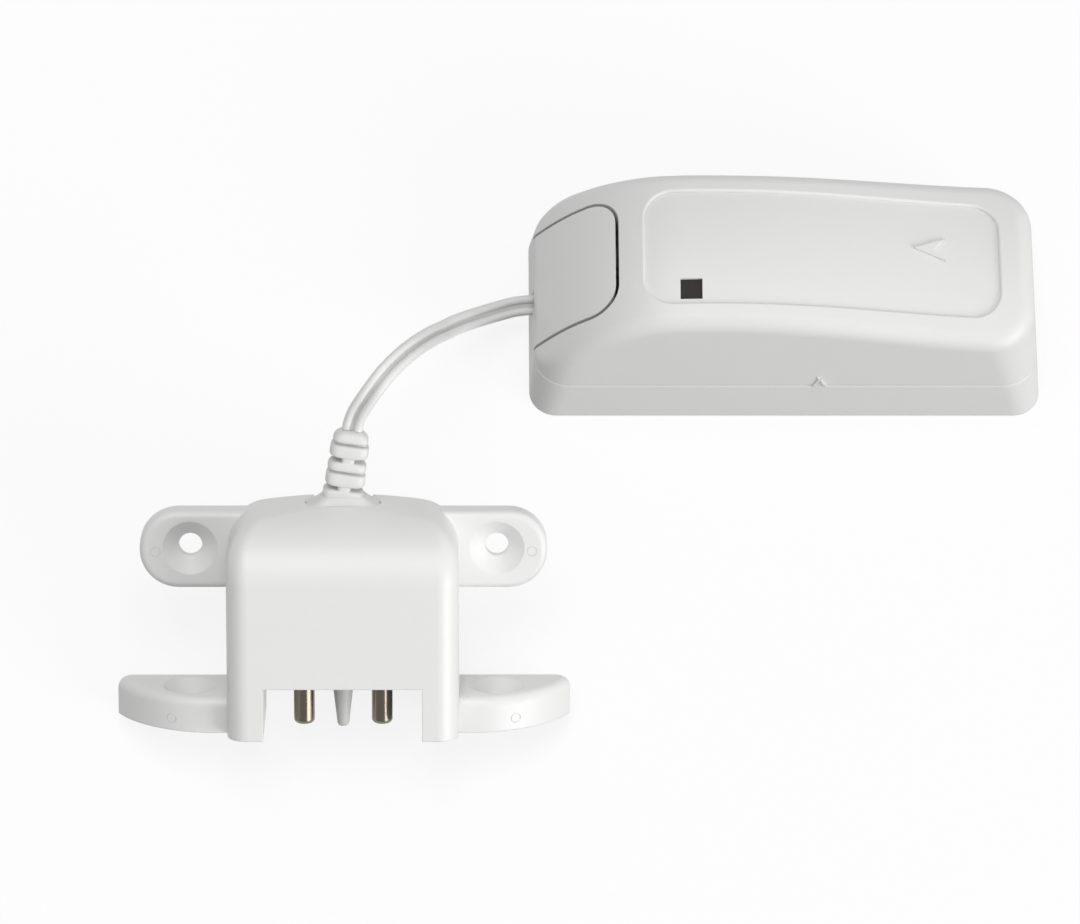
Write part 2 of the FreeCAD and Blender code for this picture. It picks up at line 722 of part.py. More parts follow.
def make_indicator_led():
    half = LED_SIZE / 2
    seat = BOARD_TOP + LED_BASE_HEIGHT
    case = box(
        WINDOW_X - half, WINDOW_X + half, WINDOW_Y - half, WINDOW_Y + half, BOARD_TOP, seat
    )
    dome = Part.makeSphere(LED_DOME_RADIUS, Vector(WINDOW_X, WINDOW_Y, seat))
    dome = dome.common(box(-SKY, SKY, -SKY, SKY, seat - 0.1, BOARD_TOP + LED_HEIGHT))
    return case.fuse(dome)


def make_battery():
    shoulder = BATTERY_LEFT + BATTERY_BUTTON_HEIGHT
    can = rod(
        BATTERY_RADIUS, (shoulder, BATTERY_Y, BATTERY_Z), (BATTERY_RIGHT, BATTERY_Y, BATTERY_Z)
    )
    can = can.makeFillet(BATTERY_EDGE, [edge for edge in can.Edges if edge.Closed])
    button = rod(
        BATTERY_BUTTON_RADIUS, (BATTERY_LEFT, BATTERY_Y, BATTERY_Z),
        (shoulder + ROOT, BATTERY_Y, BATTERY_Z),
    )
    return can.fuse(button)


def contact_plate(x, foot_far_y, bulge):
    foot_near_y = foot_far_y - CONTACT_FOOT
    plate_near_y = BATTERY_Y - CONTACT_HALF_WIDTH
    plate_far_y = BATTERY_Y + CONTACT_HALF_WIDTH
    arm_low = BOARD_TOP + CONTACT_ARM_LOW
    arm_high = BOARD_TOP + CONTACT_ARM_HIGH
    outline = Part.makePolygon([
        Vector(x, foot_near_y, BOARD_TOP),
        Vector(x, foot_far_y, BOARD_TOP),
        Vector(x, foot_far_y, arm_low),
        Vector(x, plate_far_y, arm_low),
        Vector(x, plate_far_y, CONTACT_TOP),
        Vector(x, plate_near_y, CONTACT_TOP),
        Vector(x, plate_near_y, arm_high),
        Vector(x, foot_near_y, arm_high),
        Vector(x, foot_near_y, BOARD_TOP),
    ])
    plate = Part.Face(outline).extrude(Vector(CONTACT_THICKNESS, 0, 0))
    centre_x = x if bulge > 0 else x + CONTACT_THICKNESS
    bump = Part.makeCone(
        CONTACT_BUMP_BASE, CONTACT_BUMP_TIP, CONTACT_OFFSET - CONTACT_PLAY,
        Vector(centre_x, BATTERY_Y, BATTERY_Z), Vector(bulge, 0, 0),
    )
    return plate.fuse(bump)


def make_battery_contacts():
    left = contact_plate(BATTERY_LEFT - CONTACT_OFFSET, LANDING_EDGE_Y - CONTACT_FOOT_INSET, 1)
    right = contact_plate(
        BATTERY_RIGHT + CONTACT_STANDOFF, STRIP_EDGE_Y - CONTACT_FOOT_INSET, -1
    )
    return Part.makeCompound([left, right])


def terminal_centres():
    return [TERMINAL_LEFT + (index + 0.5) * TERMINAL_PITCH for index in range(2)]


def make_terminal_block():
    right = TERMINAL_LEFT + 2 * TERMINAL_PITCH
    block = box(TERMINAL_LEFT, right, TERMINAL_NEAR, TERMINAL_FAR, BOARD_TOP, TERMINAL_TOP)
    ridge = [
        edge for edge in block.Edges
        if abs(edge.CenterOfMass.z - TERMINAL_TOP) < 0.01 and edge.Length > TERMINAL_DEPTH + 1
    ]
    block = block.makeChamfer(TERMINAL_RIDGE, ridge)
    y = (TERMINAL_NEAR + TERMINAL_FAR) / 2
    wire_z = BOARD_TOP + TERMINAL_WIRE_HEIGHT
    for x in terminal_centres():
        well = rod(
            TERMINAL_SCREW_RADIUS + FIT_GAP, (x, y, TERMINAL_TOP - TERMINAL_WELL),
            (x, y, TERMINAL_TOP + 1),
        )
        mouth = box(
            x - TERMINAL_MOUTH, x + TERMINAL_MOUTH, TERMINAL_FAR - TERMINAL_MOUTH_DEPTH,
            TERMINAL_FAR + 1, wire_z - TERMINAL_MOUTH, wire_z + TERMINAL_MOUTH,
        )
        block = block.cut(well).cut(mouth)
    return block


def make_terminal_screws():
    screws = []
    y = (TERMINAL_NEAR + TERMINAL_FAR) / 2
    top = TERMINAL_TOP - TERMINAL_SCREW_SUNK
    slot_half = TERMINAL_SCREW_RADIUS * TERMINAL_SLOT_HALF
    slot_depth = TERMINAL_SCREW_RADIUS * TERMINAL_SLOT_DEPTH
    for x in terminal_centres():
        screw = rod(TERMINAL_SCREW_RADIUS, (x, y, TERMINAL_TOP - TERMINAL_WELL), (x, y, top))
        slot = box(x - 2, x + 2, y - slot_half, y + slot_half, top - slot_depth, top + 1)
        screws.append(screw.cut(slot))
    return Part.makeCompound(screws)


def switch_case(x, length, depth, height, button_radius):
    case = box(
        x - length / 2, x + length / 2, SWITCH_Y - depth / 2, SWITCH_Y + depth / 2,
        BOARD_TOP, BOARD_TOP + height,
    )
    well = rod(
        button_radius + FIT_GAP, (x, SWITCH_Y, BOARD_TOP + SWITCH_FLOOR),
        (x, SWITCH_Y, BOARD_TOP + height + 1),
    )
    return case.cut(well)


def make_enrol_switch():
    return switch_case(ENROL_X, ENROL_SIZE, ENROL_SIZE, ENROL_HEIGHT, ENROL_BUTTON_RADIUS)


def make_enrol_button():
    low = BOARD_TOP + SWITCH_FLOOR + SWITCH_PLAY + ENROL_TRAVEL
    high = BOARD_TOP + ENROL_HEIGHT + ENROL_BUTTON_STAND
    button = rod(ENROL_BUTTON_RADIUS, (ENROL_X, SWITCH_Y, low), (ENROL_X, SWITCH_Y, high))
    rim = [edge for edge in button.Edges if abs(edge.CenterOfMass.z - high) < 0.01]
    return button.makeChamfer(ENROL_BUTTON_EDGE, rim)


def make_tamper_switch():
    return switch_case(TAMPER_X, TAMPER_LENGTH, TAMPER_DEPTH, TAMPER_HEIGHT, TAMPER_RADIUS)


def make_tamper_plunger():
    low = BOARD_TOP + SWITCH_FLOOR + SWITCH_PLAY
    high = BOARD_TOP + TAMPER_HEIGHT + TAMPER_STAND
    plunger = rod(TAMPER_RADIUS, (TAMPER_X, SWITCH_Y, low), (TAMPER_X, SWITCH_Y, high))
    rim = [edge for edge in plunger.Edges if abs(edge.CenterOfMass.z - high) < 0.01]
    return plunger.makeFillet(TAMPER_TIP, rim)


def make_radio_shield():
    x0 = BLOCK_START_X + SHIELD_INSET
    y1 = BOARD_FAR_Y - SHIELD_EDGE_GAP
    top = BOARD_TOP + SHIELD_HEIGHT
    can = box(x0, x0 + SHIELD_LENGTH, y1 - SHIELD_WIDTH, y1, BOARD_TOP, top)
    rim = [edge for edge in can.Edges if abs(edge.CenterOfMass.z - top) < 0.01]
    return can.makeFillet(SHIELD_BEND, rim)


def make_microcontroller():
    y0 = BOARD_NEAR_Y + CHIP_EDGE_GAP
    y1 = y0 + CHIP_SIZE
    underside = BOARD_TOP + CHIP_STANDOFF
    chip = box(CHIP_X, CHIP_X + CHIP_SIZE, y0, y1, underside, BOARD_TOP + CHIP_HEIGHT)
    legs = []
    pitch = CHIP_SIZE / CHIP_LEGS
    for index in range(CHIP_LEGS):
        x = CHIP_X + pitch * (index + 0.5) - CHIP_LEG_WIDTH / 2
        legs.append(box(
            x, x + CHIP_LEG_WIDTH, y0 - CHIP_LEG_REACH, y1 + CHIP_LEG_REACH,
            BOARD_TOP, BOARD_TOP + 2 * CHIP_STANDOFF,
        ))
    return chip.fuse(legs)


def tube_along(points, radius):
    edges, corners = rounded_route(points)
    path = Part.Wire(edges)
    start = Vector(*points[0])
    along = Vector(*points[1]) - start
    ring = Part.Wire([Part.makeCircle(radius, start, along)])
    tube = path.makePipeShell([ring], True, False)
    return tube, path.Length, corners


def rounded_route(points):
    route = [Vector(*point) for point in points]
    edges = []
    corners = []
    last = route[0]
    for index in range(1, len(route) - 1):
        before = route[index] - route[index - 1]
        after = route[index + 1] - route[index]
        turn = before.getAngle(after)
        radius = 0.45 * min(before.Length, after.Length) / math.tan(turn / 2)
        reach = radius * math.tan(turn / 2)
        before.normalize()
        after.normalize()
        start = route[index] - before * reach
        end = route[index] + after * reach
        bisector = after - before
        bisector.normalize()
        middle = route[index] + bisector * (radius / math.cos(turn / 2) - radius)
        edges.append(Part.LineSegment(last, start).toShape())
        edges.append(Part.Arc(start, middle, end).toShape())
        corners.append((radius, math.degrees(turn)))
        last = end
    edges.append(Part.LineSegment(last, route[-1]).toShape())
    return edges, corners


def make_antenna():
    half = ANTENNA_HALF_SPAN
    points = [
        (ANTENNA_X, -half, BOARD_TOP),
        (ANTENNA_X, -half, ANTENNA_TOP),
        (ANTENNA_X, half, ANTENNA_TOP),
        (ANTENNA_X, half, BOARD_TOP),
    ]
    edges = []
    last = Vector(*points[0])
    for index in (1, 2):
        corner = Vector(*points[index])
        before = (corner - Vector(*points[index - 1])).normalize()
        after = (Vector(*points[index + 1]) - corner).normalize()
        start = corner - before * ANTENNA_BEND
        end = corner + after * ANTENNA_BEND
        inward = (after - before).normalize()
        middle = corner + inward * ANTENNA_BEND * (math.sqrt(2) - 1)
        edges.append(Part.LineSegment(last, start).toShape())
        edges.append(Part.Arc(start, middle, end).toShape())
        last = end
    edges.append(Part.LineSegment(last, Vector(*points[3])).toShape())
    ring = Part.Wire([Part.makeCircle(ANTENNA_RADIUS, Vector(*points[0]), Vector(0, 0, 1))])
    return Part.Wire(edges).makePipeShell([ring], True, False)


def make_signal_lead():
    tube, length, corners = tube_along(LEAD_ROUTE, LEAD_WIDTH / 2)
    for radius, turn in corners:
        print("lead corner radius %.1f mm, turn %.0f degrees" % (radius, turn))
    section = math.pi * (LEAD_WIDTH / 2) ** 2
    print("lead length %.1f mm, volume %.1f, section x length %.1f"
          % (length, tube.Volume, section * length))
    exit_point = relief_axis_point(RELIEF_SLICES[-1][1])
    exit_point = probe_placement().multVec(exit_point)
    print("strain relief ends at", [round(value, 2) for value in exit_point])
    return tube


def make_lead_tails():
    sheath = rod(LEAD_WIDTH / 2, (LEAD_INNER_X, LEAD_Y, LEAD_Z), (SHEATH_END, LEAD_Y, LEAD_Z))
    wire_z = BOARD_TOP + TERMINAL_WIRE_HEIGHT
    tails = [sheath]
    for x, side in zip(terminal_centres(), (-1, 1)):
        y = LEAD_Y + side * CORE_HALF_SPACING
        bend_x = max(x, SHEATH_END) + side * CORE_HALF_SPACING + TAIL_BEND_REACH
        route = [
            (SHEATH_END - ROOT, y, LEAD_Z),
            (bend_x, y, LEAD_Z + TAIL_BEND_RISE),
            ((bend_x + x) / 2, (y + TERMINAL_FAR) / 2, wire_z),
            (x, TERMINAL_FAR + TAIL_STRAIGHT, wire_z + FIT_GAP),
            (x, TERMINAL_FAR - TERMINAL_MOUTH_DEPTH + ROOT, wire_z),
        ]
        tube, _, _ = tube_along(route, CORE_RADIUS)
        tails.append(tube)
    return fused(tails)


def make_lead_tie():
    x = LEAD_INNER_X + TIE_INSET
    band = rod(LEAD_WIDTH / 2 + TIE_WALL, (x, LEAD_Y, LEAD_Z), (x + TIE_WIDTH, LEAD_Y, LEAD_Z))
    bore = rod(
        LEAD_WIDTH / 2 + FIT_GAP, (x - 1, LEAD_Y, LEAD_Z), (x + TIE_WIDTH + 1, LEAD_Y, LEAD_Z)
    )
    near = LEAD_Y + LEAD_WIDTH / 2 + TIE_HEAD_GAP
    half = TIE_HEAD_SIZE / 2
    head = box(x, x + TIE_WIDTH, near, near + TIE_HEAD_SIZE, LEAD_Z - half, LEAD_Z + half)
    return band.fuse(head).cut(bore)


def probe_placement():
    return Placement(Vector(PROBE_X, PROBE_Y, 0), Rotation(Vector(1, 0, 0), PROBE_LEAN))


def body_outline(inset, bottom, z):
    """The body seen from the front: straight sides, round corners and a slight crown."""
    half = BODY_HALF_WIDTH - inset
    corner = BODY_CORNER - inset
    crown_centre = BODY_TOP - BODY_CROWN_RADIUS
    reach = BODY_CROWN_RADIUS - BODY_CORNER
    corner_x = BODY_HALF_WIDTH - BODY_CORNER
    corner_rise = math.sqrt(reach**2 - corner_x**2)
    corner_y = crown_centre + corner_rise
    toward_crown = math.atan2(corner_rise, corner_x)
    halfway = toward_crown / 2
    low = Vector(half, corner_y, z)
    crown = Vector(0, BODY_TOP - inset, z)
    arcs = []
    for side in (1, -1):
        bulge_x = corner_x + corner * math.cos(halfway)
        bulge = Vector(side * bulge_x, corner_y + corner * math.sin(halfway), z)
        high_x = corner_x + corner * math.cos(toward_crown)
        high = Vector(side * high_x, corner_y + corner * math.sin(toward_crown), z)
        arcs.append((Vector(side * half, corner_y, z), bulge, high))
    right, left = arcs
    edges = [
        Part.LineSegment(Vector(half, bottom, z), low).toShape(),
        Part.Arc(right[0], right[1], right[2]).toShape(),
        Part.Arc(right[2], crown, left[2]).toShape(),
        Part.Arc(left[2], left[1], left[0]).toShape(),
        Part.LineSegment(left[0], Vector(-half, bottom, z)).toShape(),
        Part.LineSegment(Vector(-half, bottom, z), Vector(half, bottom, z)).toShape(),
    ]
    return Part.Face(Part.Wire(edges))


def side_profile(inset):
    """The body seen from the side: a flat front that curves back over the top."""
    reach = BODY_HALF_WIDTH + 1
    centre = Vector(-reach, BROW_START, BODY_DEPTH - BROW_DEPTH)
    front = centre + Vector(0, 0, BROW_DEPTH - inset)
    top = centre + Vector(0, BROW_RISE - inset, 0)
    brow = Part.ArcOfEllipse(Part.Ellipse(front, top, centre), 0, math.pi / 2).toShape()
    back = Part.makePolygon([
        top, Vector(-reach, top.y, -1), Vector(-reach, -1, -1), Vector(-reach, -1, front.z), front,
    ])
    return Part.Face(Part.Wire([brow] + back.Edges)).extrude(Vector(2 * reach, 0, 0))


def on_front_rim(edge):
    """Whether an edge runs round the front of the body, up both sides and over the top."""
    start, end = edge.ParameterRange
    point = edge.valueAt((start + end) / 2)
    back = point.z - BODY_DEPTH + BROW_DEPTH
    on_front = abs(point.z - BODY_DEPTH) < 0.01 and point.y < BROW_START
    on_brow = False
    if point.y >= BROW_START and back > 0:
        rise = (point.y - BROW_START) / BROW_RISE
        on_brow = abs(math.sqrt(1 - rise**2) * BROW_DEPTH - back) < 0.05
    across = abs(point.y - BROW_START) < 0.01 and abs(point.x) < 1
    return point.y > 0.1 and (on_front or on_brow) and not across


def countersink(x, base, direction, thickness):
    """A through hole with its countersink, opening along the direction from base."""
    beyond = 2
    straight = Part.makeCylinder(
        HOLE_RADIUS, thickness + 2 * beyond, base - direction * beyond, direction,
    )
    land = thickness - SINK_DEPTH
    cone = Part.makeCone(HOLE_RADIUS, SINK_RADIUS, SINK_DEPTH, base + direction * land, direction)
    mouth = Part.makeCylinder(SINK_RADIUS, beyond, base + direction * thickness, direction)
    return straight.fuse([cone, mouth])


def upper_tabs():
    wire = rounded_rectangle(-TAB_HALF_SPAN, TAB_HALF_SPAN, TAB_LOW, TAB_HIGH, TAB_CORNER, 0)
    plate = Part.Face(wire).extrude(Vector(0, 0, TAB_THICKNESS))
    rim = [edge for edge in plate.Edges if abs(edge.CenterOfMass.z - TAB_THICKNESS) < 0.01]
    return plate.makeFillet(SOFT_EDGE, rim)


def foot_plates():
    half = FOOT_HALF_SPAN
    corner = FOOT_CORNER
    bend = corner * (1 - math.sqrt(0.5))
    inner = BODY_HALF_WIDTH - FOOT_ROOT
    plates = []
    for side in (1, -1):
        points = [
            Vector(side * inner, 0, 0),
            Vector(side * (half - corner), 0, 0),
            Vector(side * (half - bend), 0, bend),
            Vector(side * half, 0, corner),
            Vector(side * half, 0, FOOT_END_Z),
            Vector(side * FOOT_BOW_X, 0, FOOT_BOW_Z),
            Vector(side * BODY_HALF_WIDTH, 0, FOOT_DEPTH),
            Vector(side * inner, 0, FOOT_DEPTH),
        ]
        edges = [
            Part.LineSegment(points[0], points[1]).toShape(),
            Part.Arc(points[1], points[2], points[3]).toShape(),
            Part.LineSegment(points[3], points[4]).toShape(),
            Part.Arc(points[4], points[5], points[6]).toShape(),
            Part.LineSegment(points[6], points[7]).toShape(),
            Part.LineSegment(points[7], points[0]).toShape(),
        ]
        plate = Part.Face(Part.Wire(edges)).extrude(Vector(0, FOOT_THICKNESS, 0))
        rim = [
            edge for edge in plate.Edges
            if abs(edge.CenterOfMass.y - FOOT_THICKNESS) < 0.01
            and abs(edge.CenterOfMass.x) > inner + 0.1
        ]
        plates.append(plate.makeFillet(FOOT_EDGE, rim))
    return plates


def make_probe_housing():
    body = body_outline(0, 0, 0).extrude(Vector(0, 0, BODY_DEPTH)).common(side_profile(0))
    body = body.makeFillet(BODY_FILLET, [edge for edge in body.Edges if on_front_rim(edge)])
    shell = body.fuse([upper_tabs()] + foot_plates())
    cavity = body_outline(BODY_WALL, OPENING_HEIGHT, -1)
    cavity = cavity.extrude(Vector(0, 0, BODY_DEPTH)).common(side_profile(BODY_WALL))
    shell = shell.cut(cavity)
    shell = shell.cut(box(
        -OPENING_HALF_WIDTH, OPENING_HALF_WIDTH, -1, OPENING_HEIGHT + 0.01, -1, BODY_DEPTH + 1,
    ))
    slot = box(
        -COLLAR_SLOT_HALF, COLLAR_SLOT_HALF, BODY_TOP - 2 * BODY_WALL, BODY_TOP + 1, -1, RELIEF_Z,
    )
    slot = slot.fuse(collar_form(COLLAR_PLAY, BODY_TOP - 2 * BODY_WALL, SKY))
    shell = shell.cut(slot)
    for side in (1, -1):
        shell = shell.cut(countersink(
            side * HOLE_X, Vector(side * HOLE_X, TAB_HOLE_Y, 0), Vector(0, 0, 1), TAB_THICKNESS,
        ))
        shell = shell.cut(countersink(
            side * HOLE_X, Vector(side * HOLE_X, 0, FOOT_HOLE_Z), Vector(0, 1, 0), FOOT_THICKNESS,
        ))
    return shell.removeSplitter()


def collar_form(grow, low, high):
    half_width = COLLAR_HALF_WIDTH + grow
    half_depth = COLLAR_HALF_DEPTH + grow
    ellipse = Part.Ellipse(Vector(0, 0, 0), half_width, half_depth).toShape()
    face = Part.Face(Part.Wire([ellipse]))
    face.rotate(Vector(0, 0, 0), Vector(1, 0, 0), -90)
    face.translate(Vector(0, low, RELIEF_Z))
    return face.extrude(Vector(0, high - low, 0))


def make_probe_back():
    plate = body_outline(BODY_WALL + BACK_CLEARANCE, CARRIER_BOTTOM, 0)
    plate = plate.extrude(Vector(0, 0, BACK_THICKNESS))
    opening = collar_form(COLLAR_PLAY, BODY_TOP - 2 * BODY_WALL, SKY)
    return plate.cut(opening)


def make_electrode_carrier():
    half = BODY_HALF_WIDTH - BODY_WALL - BACK_CLEARANCE
    low = CARRIER_BOTTOM
    high = CARRIER_BOTTOM + CARRIER_HEIGHT
    front = BODY_DEPTH - BODY_WALL - BACK_CLEARANCE
    block = box(-half, half, low, high, BACK_THICKNESS, front)
    post = Part.makeCone(
        POST_TIP_RADIUS, POST_TOP_RADIUS, low - POST_TIP,
        Vector(0, POST_TIP, PIN_Z), Vector(0, 1, 0),
    )
    tip = [edge for edge in post.Edges if abs(edge.CenterOfMass.y - POST_TIP) < 0.01]
    post = post.makeFillet(POST_TIP_RADIUS * 0.7, tip)
    carrier = block.fuse(post)
    for side in (1, -1):
        bore = rod(
            PIN_RADIUS + FIT_GAP, (side * PIN_X, low - 1, PIN_Z), (side * PIN_X, high + 1, PIN_Z)
        )
        carrier = carrier.cut(bore)
    return carrier


def make_electrode_pins():
    pins = []
    seat = CARRIER_BOTTOM + CARRIER_HEIGHT
    for side in (1, -1):
        pin = rod(PIN_RADIUS, (side * PIN_X, PIN_TIP, PIN_Z), (side * PIN_X, PIN_TOP, PIN_Z))
        tip = [edge for edge in pin.Edges if abs(edge.CenterOfMass.y - PIN_TIP) < 0.01]
        pin = pin.makeFillet(PIN_ROUND, tip)
        flange = rod(
            PIN_RADIUS + PIN_FLANGE, (side * PIN_X, seat, PIN_Z),
            (side * PIN_X, seat + PIN_FLANGE_HEIGHT, PIN_Z),
        )
        pins.append(pin.fuse(flange))
    return Part.makeCompound(pins)


def make_probe_wires():
    wires = []
    high = BODY_TOP - COLLAR_SUNK
    for side in (1, -1):
        route = [
            (side * PIN_X, PIN_TOP, PIN_Z),
            (side * PIN_X, PIN_TOP + WIRE_RISE, PIN_Z),
            (side * (PIN_X - WIRE_BEND_INWARD), PIN_TOP + WIRE_BEND_RISE, PIN_Z - WIRE_BEND_BACK),
            (side * WIRE_ENTRY_HALF, high - WIRE_ENTRY_LENGTH, RELIEF_Z),
            (side * WIRE_ENTRY_HALF, high, RELIEF_Z),
        ]
        tube, _, _ = tube_along(route, CORE_RADIUS)
        wires.append(tube)
    return Part.makeCompound(wires)


def relief_axis_point(height):
    tilt = math.radians(RELIEF_TILT)
    base = BODY_TOP + COLLAR_PROUD
    return Vector(height * math.sin(tilt), base + height * math.cos(tilt), RELIEF_Z)


def make_strain_relief():
    collar = collar_form(0, BODY_TOP - COLLAR_SUNK, BODY_TOP + COLLAR_PROUD)
    base = BODY_TOP + COLLAR_PROUD
    stack = []
    for low, high, width, share in RELIEF_SLICES:
        depth = RELIEF_DEPTH * share
        corner = min(RELIEF_CORNER, width * 0.3, depth * 0.3)
        wire = rounded_rectangle(-width / 2, width / 2, -depth / 2, depth / 2, corner, 0)
        slab = Part.Face(wire).extrude(Vector(0, 0, high - low))
        if share == 1.0:
            ends = [
                edge for edge in slab.Edges
                if abs(edge.Vertexes[0].Z - edge.Vertexes[-1].Z) < 0.01
            ]
            slab = slab.makeFillet(RELIEF_EDGE, ends)
        slab.rotate(Vector(0, 0, 0), Vector(1, 0, 0), -90)
        slab.translate(Vector(0, low, 0))
        stack.append(slab)
    half_width = RELIEF_CORE_WIDTH / 2
    half_depth = RELIEF_CORE_DEPTH / 2
    column = rounded_rectangle(
        -half_width, half_width, -half_depth, half_depth, RELIEF_CORE_CORNER, 0,
    )
    core = Part.Face(column).extrude(Vector(0, 0, RELIEF_SLICES[-1][1] - RELIEF_CORE_SUNK))
    core.rotate(Vector(0, 0, 0), Vector(1, 0, 0), -90)
    stack.append(core)
    plug = fused(stack)
    plug.rotate(Vector(0, 0, 0), Vector(0, 0, 1), -RELIEF_TILT)
    plug.translate(Vector(0, base, RELIEF_Z))
    root = box(
        -RELIEF_ROOT_WIDTH / 2, RELIEF_ROOT_WIDTH / 2, base - ROOT, base + ROOT,
        RELIEF_Z - RELIEF_ROOT_DEPTH / 2, RELIEF_Z + RELIEF_ROOT_DEPTH / 2,
    )
    return fused([collar, root, plug])


def save(name, shape):
    shape.exportStep("parts/%s.step" % name)
    kind = "valid" if shape.isValid() else "INVALID"
    print("%-20s %s solids %d volume %.1f" % (name, kind, len(shape.Solids), shape.Volume))


def main():
    os.makedirs("parts", exist_ok=True)
    outer, inner, upper, tray = case_shells()
    groove = parting_groove(outer)
    upper = upper.cut(groove)
    tray = tray.cut(groove)
    save("base_tray", make_base_tray(tray, inner))
    save("top_cover", make_top_cover(upper, inner))
    save("end_cover", make_end_cover(upper))
    save("indicator_window", make_indicator_window(outer))
    save("indicator_led", make_indicator_led())
    save("circuit_board", make_circuit_board())
    save("board_screws", make_board_screws())
    save("cover_screw", make_cover_screw())
    save("battery", make_battery())
    save("battery_contacts", make_battery_contacts())
    save("terminal_block", make_terminal_block())
    save("terminal_screws", make_terminal_screws())
    save("enrol_switch", make_enrol_switch())
    save("enrol_button", make_enrol_button())
    save("tamper_switch", make_tamper_switch())
    save("tamper_plunger", make_tamper_plunger())
    save("radio_shield", make_radio_shield())
    save("microcontroller", make_microcontroller())
    save("antenna", make_antenna())
    save("signal_lead", make_signal_lead())
    save("lead_tails", make_lead_tails())
    save("lead_tie", make_lead_tie())
    probe_parts = {
        "probe_housing": make_probe_housing(),
        "probe_back": make_probe_back(),
        "electrode_carrier": make_electrode_carrier(),
        "electrode_pins": make_electrode_pins(),
        "probe_wires": make_probe_wires(),
        "strain_relief": make_strain_relief(),
    }
    for name, shape in probe_parts.items():
        shape.Placement = probe_placement().multiply(shape.Placement)
        save(name, shape)


main()
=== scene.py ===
import math

import bmesh
import bpy
from mathutils import Matrix, Vector


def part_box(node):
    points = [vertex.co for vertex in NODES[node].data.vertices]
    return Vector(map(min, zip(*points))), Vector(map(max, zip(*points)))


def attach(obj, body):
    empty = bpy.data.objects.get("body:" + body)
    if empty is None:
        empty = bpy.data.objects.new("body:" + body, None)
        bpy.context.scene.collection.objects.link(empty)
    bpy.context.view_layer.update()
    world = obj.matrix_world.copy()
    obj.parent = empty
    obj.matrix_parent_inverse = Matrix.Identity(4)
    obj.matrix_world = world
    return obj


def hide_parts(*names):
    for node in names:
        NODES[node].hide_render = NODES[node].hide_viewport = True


bl_info = {
    "name": "Water leak detector",
    "version": (1, 0, 0),
    "blender": (4, 5, 0),
    "location": "3D View > Sidebar > Leak Detector",
    "description": "Dresses the transmitter, its lead and the water probe, and sets the stage",
    "category": "Object",
}

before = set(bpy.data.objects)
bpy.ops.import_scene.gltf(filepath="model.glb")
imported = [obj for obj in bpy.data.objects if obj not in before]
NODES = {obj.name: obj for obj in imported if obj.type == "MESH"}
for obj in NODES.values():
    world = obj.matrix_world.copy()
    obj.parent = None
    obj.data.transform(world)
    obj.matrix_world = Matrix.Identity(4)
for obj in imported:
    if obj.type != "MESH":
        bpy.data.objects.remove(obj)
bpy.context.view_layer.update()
MM = 0.001

# Route of the free lead, from the strain relief to the notch in the case. It follows the model's
# route, moved by up to 3.5 mm so that it falls evenly along the line that the photograph shows
LEAD_ROUTE = [
    (-0.06788, -0.03725, 0.03396),
    (-0.06760, -0.03578, 0.03533),
    (-0.06525, -0.03353, 0.03841),
    (-0.06283, -0.03050, 0.03968),
    (-0.06040, -0.02745, 0.03916),
    (-0.05863, -0.02475, 0.03713),
    (-0.05740, -0.02249, 0.03473),
    (-0.05555, -0.01818, 0.02914),
    (-0.05391, -0.01304, 0.02105),
    (-0.05209, -0.00853, 0.01466),
    (-0.05028, -0.00578, 0.01090),
    (-0.04870, -0.00367, 0.00813),
    (-0.04580, -0.00174, 0.00636),
    (-0.04190, -0.00030, 0.00600),
    (-0.03840, -0.00030, 0.00600),
]
# Which way the flat of the twin lead faces all along, up and towards the front
LEAD_FACE = (0.0, -0.456, 0.890)

# Camera at the photograph's place, and where its lens looks
CAMERA_PLACE = (-0.05042, -0.47973, 0.88797)
CAMERA_PITCH = math.radians(62.8976)
CAMERA_PAN = math.radians(0.6648)

# Chips on the board, in mm: length, width and height, length of the end caps, and each chip's
# place across and along with its quarter turns
RESISTOR_SIZE = (1.5, 0.8, 0.45)
CAPACITOR_SIZE = (1.5, 0.82, 0.75)
CHIP_CAP = 0.28
RESISTORS = [
    (-18.6, -11.6, 0), (-11.6, -11.4, 0), (-11.6, -9.7, 0), (-11.6, -6.0, 0),
    (0.4, -11.4, 0), (0.4, -9.8, 0), (2.6, -6.2, 1), (18.2, -11.4, 1), (18.2, -8.6, 1),
    (28.0, -6.6, 0), (32.4, -6.4, 1), (18.4, 1.2, 0),
]
CAPACITORS = [
    (-18.6, -6.0, 0), (-11.6, -8.0, 0), (0.4, -8.2, 0), (2.8, -11.2, 1), (13.2, -11.4, 0),
    (13.2, -9.8, 0), (28.0, -8.2, 0), (32.4, 6.6, 1), (18.4, 2.8, 0), (30.4, 6.6, 1),
]
# Crystal can in mm: place across and along, then for its flange and its lid the size, the height
# of the centre over the board and the softening of the edges
CRYSTAL_PLACE = (20.6, -2.4)
CRYSTAL_PARTS = [((1.7, 3.3, 0.4), 0.20, 0.05), ((1.45, 3.0, 0.7), 0.45, 0.15)]
# The foot and the upright of a switch's leg in mm: size, how far its centre is out from the
# switch's body and how far over the board
LEG_PARTS = [((0.9, 0.6, 0.15), 0.35, 0.08), ((0.15, 0.6, 1.05), 0.06, 0.55)]
LEG_EDGE = 0.03
# Place of a switch's legs, as a share of its width in from its corners
LEG_INSET = 0.2
# A solder joint around a wire: height, half width and half depth in mm
SOLDER_RINGS = [
    (0.0, 1.00, 1.00), (0.12, 0.88, 0.88), (0.35, 0.66, 0.66), (0.65, 0.50, 0.50),
    (0.80, 0.44, 0.44),
]

# The probe's own frame, which stands on its lower rear edge
PROBE_PLACE = (-0.0693, -0.0678, 0.0)
PROBE_LEAN = math.radians(43.0)
